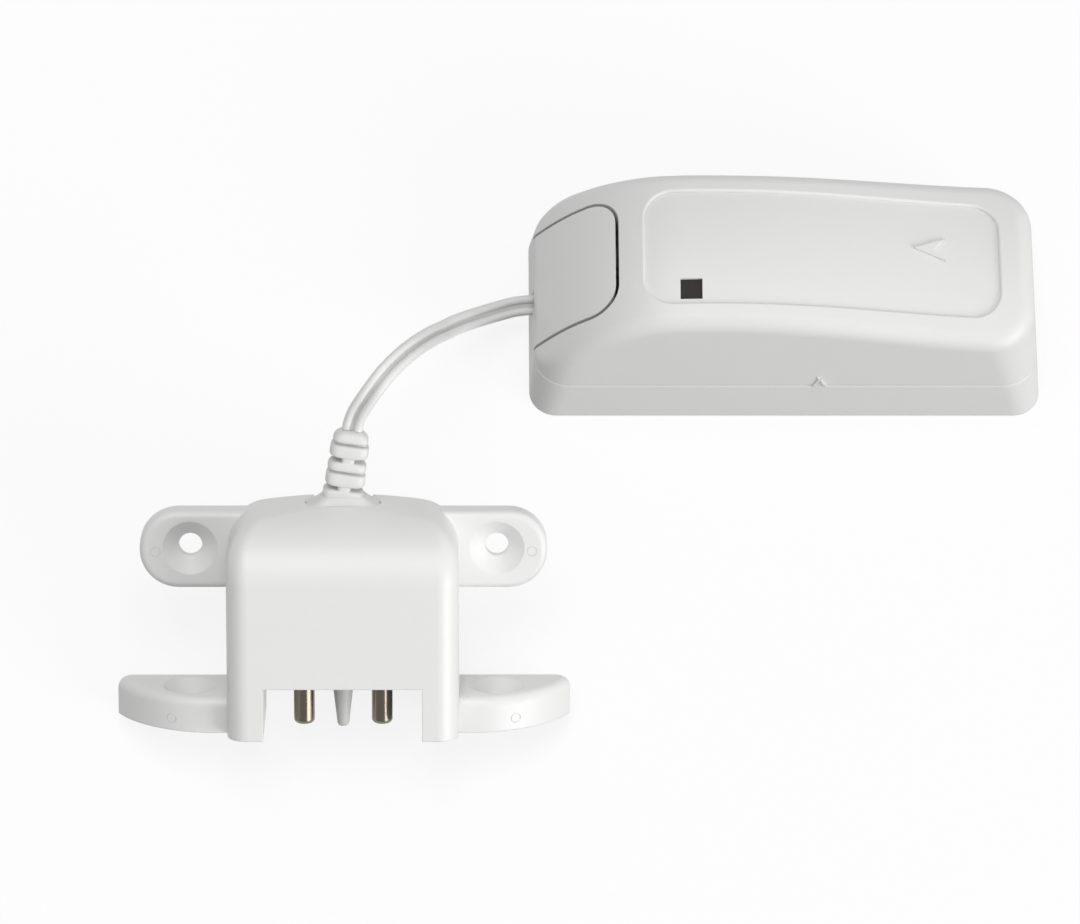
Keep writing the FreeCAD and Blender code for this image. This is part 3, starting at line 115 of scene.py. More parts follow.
# Ejector marks on the probe's front, across and up in mm from that frame, and in mm how far in
# front of it the search for the face starts
EJECTOR_MARKS = [(-28.8, 26.0), (28.9, 26.1), (-26.2, 1.9), (26.4, 1.9)]
SEARCH_START = 40.0
# Radius, width of the line and height of one mark, in metres
MARK_RADIUS = 0.00085
MARK_LINE = 0.00022
MARK_HEIGHT = 0.00004
# Strain relief, from the top of its collar along its own axis. Each ring: height, half width
# and half depth in mm. Slots cut in from the sides take turns with slots across the front
RELIEF_FOOT = (0.0, 35.4, 4.0)
RELIEF_TILT = math.radians(8.0)
RELIEF_RINGS = [
    (-0.8, 3.00, 2.30), (0.0, 3.14, 2.40), (0.55, 3.16, 2.40), (0.82, 3.00, 2.34),
    (0.97, 2.60, 2.28), (1.02, 1.05, 2.22), (1.66, 1.05, 2.22), (1.71, 2.45, 2.28),
    (1.88, 2.86, 2.36), (2.20, 3.06, 2.40), (3.30, 3.04, 2.40), (3.56, 2.90, 2.34),
    (3.64, 2.70, 2.22), (3.68, 2.66, 1.35), (4.10, 2.66, 1.35), (4.14, 2.74, 2.22),
    (4.30, 2.90, 2.36), (4.60, 2.98, 2.40), (5.00, 2.90, 2.38), (5.28, 2.66, 2.32),
    (5.42, 2.30, 2.26), (5.47, 1.05, 2.20), (6.17, 1.05, 2.20), (6.22, 2.35, 2.26),
    (6.40, 2.78, 2.36), (6.72, 2.98, 2.40), (7.75, 2.94, 2.40), (8.00, 2.80, 2.34),
    (8.08, 2.60, 2.20), (8.12, 2.48, 1.35), (8.54, 2.48, 1.35), (8.58, 2.56, 2.18),
    (8.78, 2.72, 2.34), (9.20, 2.68, 2.32), (9.65, 2.40, 2.12), (9.95, 2.05, 1.86),
    (10.15, 1.75, 1.62),
]
# Collar of the relief, a low mound in the slot of the probe's top, up the body in mm
COLLAR_RINGS = [
    (-2.10, 5.66, 2.96), (-0.30, 5.66, 2.96), (-0.12, 5.48, 2.90), (0.05, 4.95, 2.84),
    (0.28, 4.45, 2.74), (0.60, 3.95, 2.62), (0.90, 3.55, 2.52), (1.10, 3.30, 2.44),
]
COLLAR_FOOT = (0.0, 34.3, 4.0)
# Where both lamps point, between the two housings, and the way from there to each lamp
LAMP_TARGET = (-0.03, -0.02, 0.015)
KEY_SIDE = (0.66, -0.52, 0.20)
TOP_SIDE = (-0.04, 0.02, 0.50)
# How far the floor lies below the base, so that the two don't meet
FLOOR_DROP = 0.00002

# Reach of the painted shade to each side of the lead's groove, as a share of the lead's width
GROOVE_SHADE_REACH = 0.17
# Sharpest bend between two faces that is still shaded as one curve
SMOOTH_ANGLE = math.radians(40)

# Cells per metre of the textures
FLOW_SCALE = 70.0
SPECK_SCALE = 900.0
FILM_SCALE = 600.0
WRINKLE_SCALE = 500.0
TRACK_SCALE = 420.0
HOLE_SCALE = 330.0
# Colours that the textures mix in: dust on plastic, dulled film on metal, bare plated steel
DUST = (0.30, 0.29, 0.27, 1.0)
FILM = (0.22, 0.20, 0.17, 1.0)
BARE_STEEL = (0.60, 0.58, 0.54, 1.0)
WHITE = (1.0, 1.0, 1.0, 1.0)


class CaseSettings(bpy.types.PropertyGroup):
    colour: bpy.props.FloatVectorProperty(
        name="Case colour", description="Colour of the transmitter's moulded shells",
        subtype="COLOR", size=3, min=0, max=1, default=(0.82, 0.82, 0.812),
    )
    roughness: bpy.props.FloatProperty(
        name="Case roughness", description="How satin the shells are",
        default=0.42, min=0, max=1, subtype="FACTOR",
    )
    grain_size: bpy.props.FloatProperty(
        name="Grain size", description="Width of one grain of the mould's fine texture",
        default=0.00022, min=0.00005, max=0.002, unit="LENGTH",
    )
    edge_radius: bpy.props.FloatProperty(
        name="Edge radius", description="Softening of the moulded edges",
        default=0.00018, min=0, max=0.001, unit="LENGTH",
    )
    window_colour: bpy.props.FloatVectorProperty(
        name="Window colour", description="Colour of the smoked indicator window",
        subtype="COLOR", size=3, min=0, max=1, default=(0.020, 0.016, 0.012),
    )


class ProbeSettings(bpy.types.PropertyGroup):
    colour: bpy.props.FloatVectorProperty(
        name="Probe colour", description="Colour of the probe's moulded body",
        subtype="COLOR", size=3, min=0, max=1, default=(0.87, 0.87, 0.86),
    )
    relief_colour: bpy.props.FloatVectorProperty(
        name="Strain relief colour", description="Colour of the soft strain relief",
        subtype="COLOR", size=3, min=0, max=1, default=(0.80, 0.80, 0.79),
    )
    roughness: bpy.props.FloatProperty(
        name="Probe roughness", description="How satin the probe's body is",
        default=0.38, min=0, max=1, subtype="FACTOR",
    )
    # Painted shade: the pins' colour is set darker than plated nickel, for the dark surroundings
    # that they reflect
    pin_colour_with_painted_shade: bpy.props.FloatVectorProperty(
        name="Pin colour", description="Colour of the plated water pins",
        subtype="COLOR", size=3, min=0, max=1, default=(0.235, 0.205, 0.165),
    )


class LeadSettings(bpy.types.PropertyGroup):
    colour: bpy.props.FloatVectorProperty(
        name="Lead colour", description="Colour of the lead's insulation",
        subtype="COLOR", size=3, min=0, max=1, default=(0.82, 0.82, 0.81),
    )
    # Painted shade: colour that darkens the groove between the strands, where shade falls
    groove_shade_colour: bpy.props.FloatVectorProperty(
        name="Groove colour", description="Colour of the dust in the groove between the strands",
        subtype="COLOR", size=3, min=0, max=1, default=(0.47, 0.465, 0.45),
    )
    width: bpy.props.FloatProperty(
        name="Lead width", description="Width across both strands",
        default=0.0032, min=0.001, max=0.01, unit="LENGTH",
    )
    strand: bpy.props.FloatProperty(
        name="Strand diameter", description="Diameter of one insulated strand",
        default=0.00138, min=0.0005, max=0.005, unit="LENGTH",
    )
    web: bpy.props.FloatProperty(
        name="Web thickness", description="Thickness of the web that joins the strands",
        default=0.0003, min=0.0001, max=0.002, unit="LENGTH",
    )


class BoardSettings(bpy.types.PropertyGroup):
    mask_colour: bpy.props.FloatVectorProperty(
        name="Board colour", description="Colour of the board's solder mask",
        subtype="COLOR", size=3, min=0, max=1, default=(0.015, 0.11, 0.035),
    )
    solder_colour: bpy.props.FloatVectorProperty(
        name="Solder colour", description="Colour of the solder and plated pads",
        subtype="COLOR", size=3, min=0, max=1, default=(0.60, 0.60, 0.59),
    )
    sleeve_colour: bpy.props.FloatVectorProperty(
        name="Battery sleeve colour", description="Colour of the battery's plain shrink sleeve",
        subtype="COLOR", size=3, min=0, max=1, default=(0.030, 0.075, 0.16),
    )


class StageSettings(bpy.types.PropertyGroup):
    lens: bpy.props.FloatProperty(
        name="Lens", description="Focal length of the camera in millimetres",
        default=210.512, min=10, max=1000,
    )
    sky_strength: bpy.props.FloatProperty(
        name="Room light", description="Strength of the even light from all round",
        default=0.42, min=0, max=5,
    )
    key_strength: bpy.props.FloatProperty(
        name="Key light", description="Strength of the soft light from the right, 1 is white",
        default=0.70, min=0, max=5,
    )
    top_strength: bpy.props.FloatProperty(
        name="Top light", description="Strength of the soft light from above, 1 is white",
        default=0.40, min=0, max=5,
    )
    lamp_distance: bpy.props.FloatProperty(
        name="Lamp distance", description="Distance of the soft lights from the object",
        default=1.3, min=0.2, max=10, unit="LENGTH",
    )
    lamp_size: bpy.props.FloatProperty(
        name="Lamp size", description="Width of the soft lights",
        default=0.9, min=0.05, max=5, unit="LENGTH",
    )
    floor_size: bpy.props.FloatProperty(
        name="Floor size", description="Width of the pale floor",
        default=6.0, min=0.5, max=50, unit="LENGTH",
    )
    floor_colour: bpy.props.FloatVectorProperty(
        name="Floor colour", description="Colour of the floor in the light that it throws back",
        subtype="COLOR", size=3, min=0, max=1, default=(0.20, 0.20, 0.20),
    )
    floor_glow: bpy.props.FloatProperty(
        name="Floor white", description="Share of plain white in the floor that the camera sees",
        default=0.82, min=0, max=1, subtype="FACTOR",
    )


class DetectorSettings(bpy.types.PropertyGroup):
    case: bpy.props.PointerProperty(type=CaseSettings)
    probe: bpy.props.PointerProperty(type=ProbeSettings)
    lead: bpy.props.PointerProperty(type=LeadSettings)
    board: bpy.props.PointerProperty(type=BoardSettings)
    stage: bpy.props.PointerProperty(type=StageSettings)


def settings():
    """The settings of all pieces, held by the scene."""
    return bpy.context.scene.leak_detector


def opaque(colour):
    """A colour with full alpha."""
    return (colour[0], colour[1], colour[2], 1.0)


def in_mm(values):
    """A size or place given in mm, in metres."""
    return tuple(value * MM for value in values)


# Shader node groups that several finishes share
def new_group(name, inputs, outputs):
    """A shader node group with the given sockets, or the one of that name already made."""
    tree = bpy.data.node_groups.get(name)
    if tree:
        return tree, None, None
    tree = bpy.data.node_groups.new(name, "ShaderNodeTree")
    for label, kind, default in inputs:
        socket = tree.interface.new_socket(label, in_out="INPUT", socket_type=kind)
        socket.default_value = default
    for label, kind in outputs:
        tree.interface.new_socket(label, in_out="OUTPUT", socket_type=kind)
    return tree, tree.nodes.new("NodeGroupInput"), tree.nodes.new("NodeGroupOutput")


def math_node(tree, operation, first, second, clamp=False):
    """The output of a math node that takes numbers or sockets."""
    node = tree.nodes.new("ShaderNodeMath")
    node.operation = operation
    node.use_clamp = clamp
    for socket, value in zip(node.inputs, (first, second)):
        if isinstance(value, (int, float)):
            socket.default_value = value
        else:
            tree.links.new(value, socket)
    return node.outputs[0]


def mix_colour(tree, factor, first, second):
    """The output of a colour mix that takes values or sockets."""
    node = tree.nodes.new("ShaderNodeMix")
    node.data_type = "RGBA"
    for name, value in (("Factor", factor), ("A", first), ("B", second)):
        socket = next(s for s in node.inputs if s.name == name and s.enabled)
        if isinstance(value, (int, float, tuple)):
            socket.default_value = value
        else:
            tree.links.new(value, socket)
    return next(s for s in node.outputs if s.enabled)


def noise(tree, vector, scale, detail=2.0, roughness=0.5):
    """The output of a noise texture whose scale is a number or a socket."""
    node = tree.nodes.new("ShaderNodeTexNoise")
    tree.links.new(vector, node.inputs["Vector"])
    if isinstance(scale, (int, float)):
        node.inputs["Scale"].default_value = scale
    else:
        tree.links.new(scale, node.inputs["Scale"])
    node.inputs["Detail"].default_value = detail
    node.inputs["Roughness"].default_value = roughness
    return node.outputs["Fac"]


def moulded_grain():
    """Fine spark-eroded texture of a plastic moulding, with faint flow marks."""
    tree, entry, out = new_group(
        "moulded_grain",
        [
            ("Colour", "NodeSocketColor", (0.8, 0.8, 0.8, 1.0)),
            ("Roughness", "NodeSocketFloat", 0.4),
            ("Grain Size", "NodeSocketFloat", 0.0002),
            ("Flow", "NodeSocketFloat", 0.05),
        ],
        [
            ("Colour", "NodeSocketColor"),
            ("Roughness", "NodeSocketFloat"),
            ("Height", "NodeSocketFloat"),
        ],
    )
    if entry is None:
        return tree
    speck_share, roughness_range = 0.02, 0.12
    place = tree.nodes.new("ShaderNodeTexCoord").outputs["Object"]
    grain_scale = math_node(tree, "DIVIDE", 1.0, entry.outputs["Grain Size"])
    grain = noise(tree, place, grain_scale, detail=1.5)
    flow = noise(tree, place, FLOW_SCALE, detail=3.0, roughness=0.6)
    speck = noise(tree, place, SPECK_SCALE)
    flow_shade = math_node(tree, "MULTIPLY", flow, entry.outputs["Flow"])
    speck_shade = math_node(tree, "MULTIPLY", speck, speck_share)
    shade = math_node(tree, "ADD", flow_shade, speck_shade)
    colour = mix_colour(tree, shade, entry.outputs["Colour"], DUST)
    centred = math_node(tree, "SUBTRACT", grain, 0.5)
    wander = math_node(tree, "MULTIPLY", centred, roughness_range)
    roughness = math_node(tree, "ADD", entry.outputs["Roughness"], wander, clamp=True)
    tree.links.new(colour, out.inputs["Colour"])
    tree.links.new(roughness, out.inputs["Roughness"])
    tree.links.new(grain, out.inputs["Height"])
    return tree


def soft_edges():
    """Rounds the look of an edge by the given radius, where the mesh is sharp."""
    tree, entry, out = new_group(
        "soft_edges", [("Radius", "NodeSocketFloat", 0.0002)], [("Normal", "NodeSocketVector")]
    )
    if entry is None:
        return tree
    bevel = tree.nodes.new("ShaderNodeBevel")
    bevel.samples = 6
    tree.links.new(entry.outputs["Radius"], bevel.inputs["Radius"])
    tree.links.new(bevel.outputs["Normal"], out.inputs["Normal"])
    return tree


def plated_metal_look():
    """Drawn or turned metal: fine streaks along Z, with a dulled film in patches."""
    tree, entry, out = new_group(
        "plated_metal",
        [
            ("Colour", "NodeSocketColor", (0.6, 0.6, 0.6, 1.0)),
            ("Roughness", "NodeSocketFloat", 0.25),
            ("Streak Size", "NodeSocketFloat", 0.0002),
            ("Film", "NodeSocketFloat", 0.2),
        ],
        [
            ("Colour", "NodeSocketColor"),
            ("Roughness", "NodeSocketFloat"),
            ("Height", "NodeSocketFloat"),
        ],
    )
    if entry is None:
        return tree
    roughness_range = 0.25
    along_streaks = (1.0, 1.0, 0.12)
    place = tree.nodes.new("ShaderNodeTexCoord").outputs["Object"]
    stretch = tree.nodes.new("ShaderNodeMapping")
    stretch.inputs["Scale"].default_value = along_streaks
    tree.links.new(place, stretch.inputs["Vector"])
    streak_scale = math_node(tree, "DIVIDE", 1.0, entry.outputs["Streak Size"])
    streaks = noise(tree, stretch.outputs["Vector"], streak_scale)
    film = noise(tree, place, FILM_SCALE, detail=3.0)
    dulled = math_node(tree, "MULTIPLY", film, entry.outputs["Film"])
    colour = mix_colour(tree, dulled, entry.outputs["Colour"], FILM)
    centred = math_node(tree, "SUBTRACT", streaks, 0.5)
    wander = math_node(tree, "MULTIPLY", centred, roughness_range)
    roughness = math_node(tree, "ADD", entry.outputs["Roughness"], wander, clamp=True)
    tree.links.new(colour, out.inputs["Colour"])
    tree.links.new(roughness, out.inputs["Roughness"])
    tree.links.new(streaks, out.inputs["Height"])
    return tree


def place_group(tree, group, **values):
    """A node of the given group, with values for the sockets that are named."""
    node = tree.nodes.new("ShaderNodeGroup")
    node.node_tree = group
    for label, value in values.items():
        node.inputs[label.replace("_", " ")].default_value = value
    return node


def blank_material(name):
    """A new material, or the finish of that name already made. The frame's own are left alone."""
    name += "_finish"
    material = bpy.data.materials.get(name)
    if material:
        return material, None
    material = bpy.data.materials.new(name)
    material.use_nodes = True
    return material, material.node_tree.nodes["Principled BSDF"]


def add_bump(tree, shader, height, depth, edge_radius=0.0):
    """Joins a height to the shader through a bump, over edges softened by a radius."""
    bump = tree.nodes.new("ShaderNodeBump")
    bump.inputs["Strength"].default_value = 1.0
    bump.inputs["Distance"].default_value = depth
    tree.links.new(height, bump.inputs["Height"])
    if edge_radius > 0:
        rounding = place_group(tree, soft_edges(), Radius=edge_radius)
        tree.links.new(rounding.outputs["Normal"], bump.inputs["Normal"])
    tree.links.new(bump.outputs["Normal"], shader.inputs["Normal"])


def plastic(name, colour, roughness, grain_size=0.00022, depth=0.000004, flow=0.05,
            edge_radius=0.00018, specular=0.5):
    """A moulded plastic with the mould's fine grain."""
    material, shader = blank_material(name)
    if shader is None:
        return material
    tree = material.node_tree
    grain = place_group(
        tree, moulded_grain(), Colour=opaque(colour), Roughness=roughness,
        Grain_Size=grain_size, Flow=flow,
    )
    grain.name = "grain"
    tree.links.new(grain.outputs["Colour"], shader.inputs["Base Color"])
    tree.links.new(grain.outputs["Roughness"], shader.inputs["Roughness"])
    shader.inputs["Specular IOR Level"].default_value = specular
    add_bump(tree, shader, grain.outputs["Height"], depth, edge_radius)
    return material


def metal(name, colour, roughness, streak_size=0.0002, film=0.2, depth=0.000002,
          edge_radius=0.00008):
    """A plated or drawn metal."""
    material, shader = blank_material(name)
    if shader is None:
        return material
    tree = material.node_tree
    look = place_group(
        tree, plated_metal_look(), Colour=opaque(colour), Roughness=roughness,
        Streak_Size=streak_size, Film=film,
    )
    tree.links.new(look.outputs["Colour"], shader.inputs["Base Color"])
    tree.links.new(look.outputs["Roughness"], shader.inputs["Roughness"])
    shader.inputs["Metallic"].default_value = 1.0
    add_bump(tree, shader, look.outputs["Height"], depth, edge_radius)
    return material


# Finishes, one function each
def case_plastic():
    case = settings().case
    return plastic(
        "case_plastic", case.colour, case.roughness, grain_size=case.grain_size,
        edge_radius=case.edge_radius,
    )


def probe_plastic():
    probe = settings().probe
    return plastic(
        "probe_plastic", probe.colour, probe.roughness, grain_size=0.0002, edge_radius=0.00025
    )


# Painted shade: the carrier's own grey is darkened further for the shade inside the probe's mouth
def carrier_plastic():
    return plastic("carrier_plastic", (0.62, 0.62, 0.60), 0.45)


def relief_plastic():
    return plastic(
        "relief_plastic", settings().probe.relief_colour, 0.48, flow=0.03, edge_radius=0.00015
    )


def lead_jacket():
    """The lead's insulation, with shade painted into its colour in the groove between its
    strands.
    """
    lead = settings().lead
    material = plastic(
        "lead_jacket", lead.colour, 0.40, grain_size=0.0003, depth=0.000003, flow=0.03,
        edge_radius=0.0001,
    )
    tree = material.node_tree
    if "groove" in tree.nodes:
        return material
    shader = tree.nodes["Principled BSDF"]
    moulded = tree.nodes["grain"].outputs["Colour"]
    # Painted shade: the groove mask mixes the darker groove colour into the insulation
    groove = tree.nodes.new("ShaderNodeAttribute")
    groove.name = "groove"
    groove.attribute_name = "groove"
    colour = mix_colour(tree, groove.outputs["Fac"], moulded, opaque(lead.groove_shade_colour))
    tree.links.new(colour, shader.inputs["Base Color"])
    return material


def smoke_window():
    return plastic(
        "smoke_window", settings().case.window_colour, 0.22, grain_size=0.0006, depth=0.000003,
        flow=0.04, edge_radius=0.0001, specular=0.10,
    )


def led_lens():
    material = plastic("led_lens", (0.50, 0.03, 0.02), 0.10, edge_radius=0.0001, flow=0.02)
    shader = material.node_tree.nodes["Principled BSDF"]
    shader.inputs["Coat Weight"].default_value = 0.5
    return material


def black_plastic():
    return plastic("black_plastic", (0.022, 0.022, 0.023), 0.45, edge_radius=0.00008)


def button_plastic():
    return plastic("button_plastic", (0.50, 0.50, 0.48), 0.40, edge_radius=0.00008)


def terminal_plastic():
    return plastic("terminal_plastic", (0.020, 0.16, 0.05), 0.42, edge_radius=0.0001)


def tie_plastic():
    return plastic("tie_plastic", (0.66, 0.65, 0.60), 0.35, edge_radius=0.0001)


# Painted shade: the pins' dark colour stands in for the dark surroundings that they reflect
def pin_nickel():
    return metal("pin_nickel", settings().probe.pin_colour_with_painted_shade, 0.22, streak_size=0.00025, film=0.25)


def plated_sheet():
    return metal("plated_sheet", (0.58, 0.56, 0.52), 0.26, streak_size=0.0002, film=0.2)


def zinc_steel():
    return metal("steel", (0.62, 0.62, 0.60), 0.30, streak_size=0.00015, film=0.12)


def copper():
    return metal("copper_wire", (0.75, 0.38, 0.20), 0.28, streak_size=0.00012, film=0.15)


def solder():
    return metal("solder", settings().board.solder_colour, 0.22, streak_size=0.0003, film=0.1)


def ceramic():
    return plastic("ceramic", (0.36, 0.25, 0.15), 0.5, grain_size=0.0001, edge_radius=0.00005)


def board_laminate():
    """Green solder mask over raised copper tracks, with plated holes."""
    material, shader = blank_material("board_laminate")
    if shader is None:
        return material
    tracks_per_cell, track_gap, hole_radius, hole_depth = 5.0, 0.55, 0.13, 1.5
    over_copper = (2.4, 2.0, 2.0)
    tree = material.node_tree
    place = tree.nodes.new("ShaderNodeTexCoord").outputs["Object"]
    cells = tree.nodes.new("ShaderNodeTexVoronoi")
    cells.distance = "CHEBYCHEV"
    cells.feature = "F1"
    cells.inputs["Scale"].default_value = TRACK_SCALE
    tree.links.new(place, cells.inputs["Vector"])
    ripple = math_node(tree, "MULTIPLY", cells.outputs["Distance"], tracks_per_cell)
    ripple = math_node(tree, "FRACT", ripple, 0.0)
    track = math_node(tree, "GREATER_THAN", ripple, track_gap)
    holes = tree.nodes.new("ShaderNodeTexVoronoi")
    holes.inputs["Scale"].default_value = HOLE_SCALE
    tree.links.new(place, holes.inputs["Vector"])
    plated = math_node(tree, "LESS_THAN", holes.outputs["Distance"], hole_radius)
    mask = settings().board.mask_colour
    bright = opaque([channel * gain for channel, gain in zip(mask, over_copper)])
    colour = mix_colour(tree, track, opaque(mask), bright)
    colour = mix_colour(tree, plated, colour, opaque(settings().board.solder_colour))
    tree.links.new(colour, shader.inputs["Base Color"])
    shader.inputs["Roughness"].default_value = 0.28
    height = math_node(tree, "ADD", track, math_node(tree, "MULTIPLY", plated, -hole_depth))
    add_bump(tree, shader, height, depth=0.00003)
    return material


def battery_sleeve():
    """Plain shrink sleeve on the cell's side, with bare plated ends."""
    material, shader = blank_material("battery_sleeve")
    if shader is None:
        return material
    end_from, worn_gain, worn_share = 0.8, 1.6, 0.5
    along_cell = (0.25, 1.0, 1.0)
    tree = material.node_tree
    geometry = tree.nodes.new("ShaderNodeNewGeometry")
    split = tree.nodes.new("ShaderNodeSeparateXYZ")
    tree.links.new(geometry.outputs["True Normal"], split.inputs["Vector"])
    endwise = math_node(tree, "ABSOLUTE", split.outputs["X"], 0.0)
    bare = math_node(tree, "GREATER_THAN", endwise, end_from)
    wrinkle_map = tree.nodes.new("ShaderNodeMapping")
    wrinkle_map.inputs["Scale"].default_value = along_cell
    place = tree.nodes.new("ShaderNodeTexCoord").outputs["Object"]
    tree.links.new(place, wrinkle_map.inputs["Vector"])
    wrinkle = noise(tree, wrinkle_map.outputs["Vector"], WRINKLE_SCALE, detail=3.0)
    sleeve = settings().board.sleeve_colour
    worn = opaque([min(1.0, channel * worn_gain) for channel in sleeve])
    wear = math_node(tree, "MULTIPLY", wrinkle, worn_share)
    colour = mix_colour(tree, wear, opaque(sleeve), worn)
    colour = mix_colour(tree, bare, colour, BARE_STEEL)
    tree.links.new(colour, shader.inputs["Base Color"])
    tree.links.new(bare, shader.inputs["Metallic"])
    shader.inputs["Roughness"].default_value = 0.25
    add_bump(tree, shader, wrinkle, depth=0.00002)
    return material


# Mesh helpers
def dress(node, material):
    """Gives a node of the model its finish."""
    mesh = NODES[node].data
    mesh.materials.clear()
    mesh.materials.append(material)


def add_piece(name, shape, material, body):
    """A new piece from a bmesh, riding on a body of the model."""
    mesh = bpy.data.meshes.new(name)
    shape.normal_update()
    shape.to_mesh(mesh)
    shape.free()
    mesh.materials.append(material)
    mesh.polygons.foreach_set("use_smooth", [True] * len(mesh.polygons))
    mesh.set_sharp_from_angle(angle=SMOOTH_ANGLE)
    piece = bpy.data.objects.new(name, mesh)
    bpy.context.scene.collection.objects.link(piece)
    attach(piece, body)
    return piece


def add_block(shape, centre, size, bevel, turn=0.0):
    """A block with softened edges, centred on a point and turned about Z."""
    cube = bmesh.ops.create_cube(shape, size=1.0)["verts"]
    bmesh.ops.scale(shape, vec=size, verts=cube)
    bmesh.ops.rotate(shape, cent=(0, 0, 0), matrix=Matrix.Rotation(turn, 3, "Z"), verts=cube)
    bmesh.ops.translate(shape, vec=centre, verts=cube)
    edges = list(dict.fromkeys(edge for vertex in cube for edge in vertex.link_edges))
    bmesh.ops.bevel(shape, geom=edges, offset=bevel, segments=2, affect="EDGES")


def join_rings(shape, rings):
    """Joins rings of as many points each into one skin, closed at both ends."""
    for ring, following in zip(rings, rings[1:]):
        for i in range(len(ring)):
            j = (i + 1) % len(ring)
            shape.faces.new((ring[i], ring[j], following[j], following[i]))
    shape.faces.new(rings[0][::-1])
    shape.faces.new(rings[-1])


def smooth_route(points):
    """Points along the NURBS line that the route's points control."""
    curve = bpy.data.curves.new("route", "CURVE")
    curve.dimensions = "3D"
    curve.resolution_u = 16
    spline = curve.splines.new("NURBS")
    spline.points.add(len(points) - 1)
    for point, place in zip(spline.points, points):
        point.co = (*place, 1.0)
    spline.order_u = 3
    spline.use_endpoint_u = True
    holder = bpy.data.objects.new("route", curve)
    line = bpy.data.meshes.new_from_object(holder)
    places = [vertex.co.copy() for vertex in line.vertices]
    bpy.data.objects.remove(holder)
    bpy.data.meshes.remove(line)
    bpy.data.curves.remove(curve)
    return places


def twin_profile(width, strand, web, steps=14):
    """Outline of two round strands joined by a web, as (across, through) pairs."""
    radius = strand / 2
    centre = width / 2 - radius
    # Half the angle that the web takes of each strand, which can't be all of its half
    opening = math.asin(min(0.95, web / 2 / radius))
    outline = []
    for side in (1, -1):
        for step in range(steps + 1):
            angle = -math.pi + opening + (2 * math.pi - 2 * opening) * step / steps
            outline.append((
                side * (centre + radius * math.cos(angle)), side * radius * math.sin(angle)
            ))
    return outline


def side_vectors(places, face):
    """Forward and side directions at each place, for a flat lead whose face stays to one side."""
    last = len(places) - 1
    reach = len(places) // 10
    forwards = []
    sides = []
    for i in range(last + 1):
        forward = (places[min(i + 1, last)] - places[max(i - 1, 0)]).normalized()
        chord = places[min(i + reach, last)] - places[max(i - reach, 0)]
        side = chord.cross(face)
        side -= forward * side.dot(forward)
        forwards.append(forward)
        sides.append(side.normalized())
    return forwards, sides


def probe_place():
    """The probe's own frame: X across, Y up its body, Z out of its front."""
    return Matrix.Translation(PROBE_PLACE) @ Matrix.Rotation(PROBE_LEAN, 4, "X")


def rounded_ring(half_width, half_depth, steps=40, squareness=4.5):
    """Points of a rounded rectangle around the origin, as (across, through) pairs."""
    ring = []
    for step in range(steps):
        angle = 2 * math.pi * step / steps
        across, through = math.cos(angle), math.sin(angle)
        ring.append((
            half_width * math.copysign(abs(across) ** (2 / squareness), across),
            half_depth * math.copysign(abs(through) ** (2 / squareness), through),
        ))
    return ring


def loft(shape, place, sections):
    """Joins rings of (height, half width, half depth), all in mm, into one closed skin."""
    rings = []
    for height, half_width, half_depth in sections:
        ring = rounded_ring(half_width, half_depth)
        rings.append([
            shape.verts.new(place @ Vector(in_mm((across, height, through))))
            for across, through in ring
        ])
    join_rings(shape, rings)


def add_mark(shape, centre, normal, steps=28):
    """A faint raised ring on a face, as an ejector pin leaves."""
    turn = normal.to_track_quat("Z", "Y").to_matrix()
    loops = []
    for radius, rise in (
        (MARK_RADIUS, -MARK_HEIGHT), (MARK_RADIUS - MARK_LINE / 2, MARK_HEIGHT),
        (MARK_RADIUS - MARK_LINE, -MARK_HEIGHT),
    ):
        angles = [math.tau * step / steps for step in range(steps)]
        loops.append([
            shape.verts.new(centre + turn @ Vector((
                radius * math.cos(angle), radius * math.sin(angle), rise,
            )))
            for angle in angles
        ])
    for loop, following in zip(loops, loops[1:] + loops[:1]):
        for i in range(steps):
            j = (i + 1) % steps
            shape.faces.new((loop[i], loop[j], following[j], following[i]))


class LEAKDETECTOR_OT_stage(bpy.types.Operator):
    """Sets the camera, the pale floor and the soft lights"""
    bl_idname = "leakdetector.stage"
    bl_label = "Stage"

    def execute(self, context):
        scene = context.scene
        scene.view_settings.view_transform = "Standard"
        stage = settings().stage
        add_camera(scene, stage)
        add_floor(stage)
        add_lights(scene, stage)
        return {"FINISHED"}


def add_camera(scene, stage):
    data = bpy.data.cameras.new("camera")
    data.lens = stage.lens
    data.sensor_width = 36.0
    data.clip_end = 20.0
    camera = bpy.data.objects.new("camera", data)
    scene.collection.objects.link(camera)
    tilt = Matrix.Rotation(math.pi / 2 - CAMERA_PITCH, 4, "X")
    pan = Matrix.Rotation(-CAMERA_PAN, 4, "Y")
    camera.matrix_world = Matrix.Translation(CAMERA_PLACE) @ tilt @ pan
    scene.camera = camera


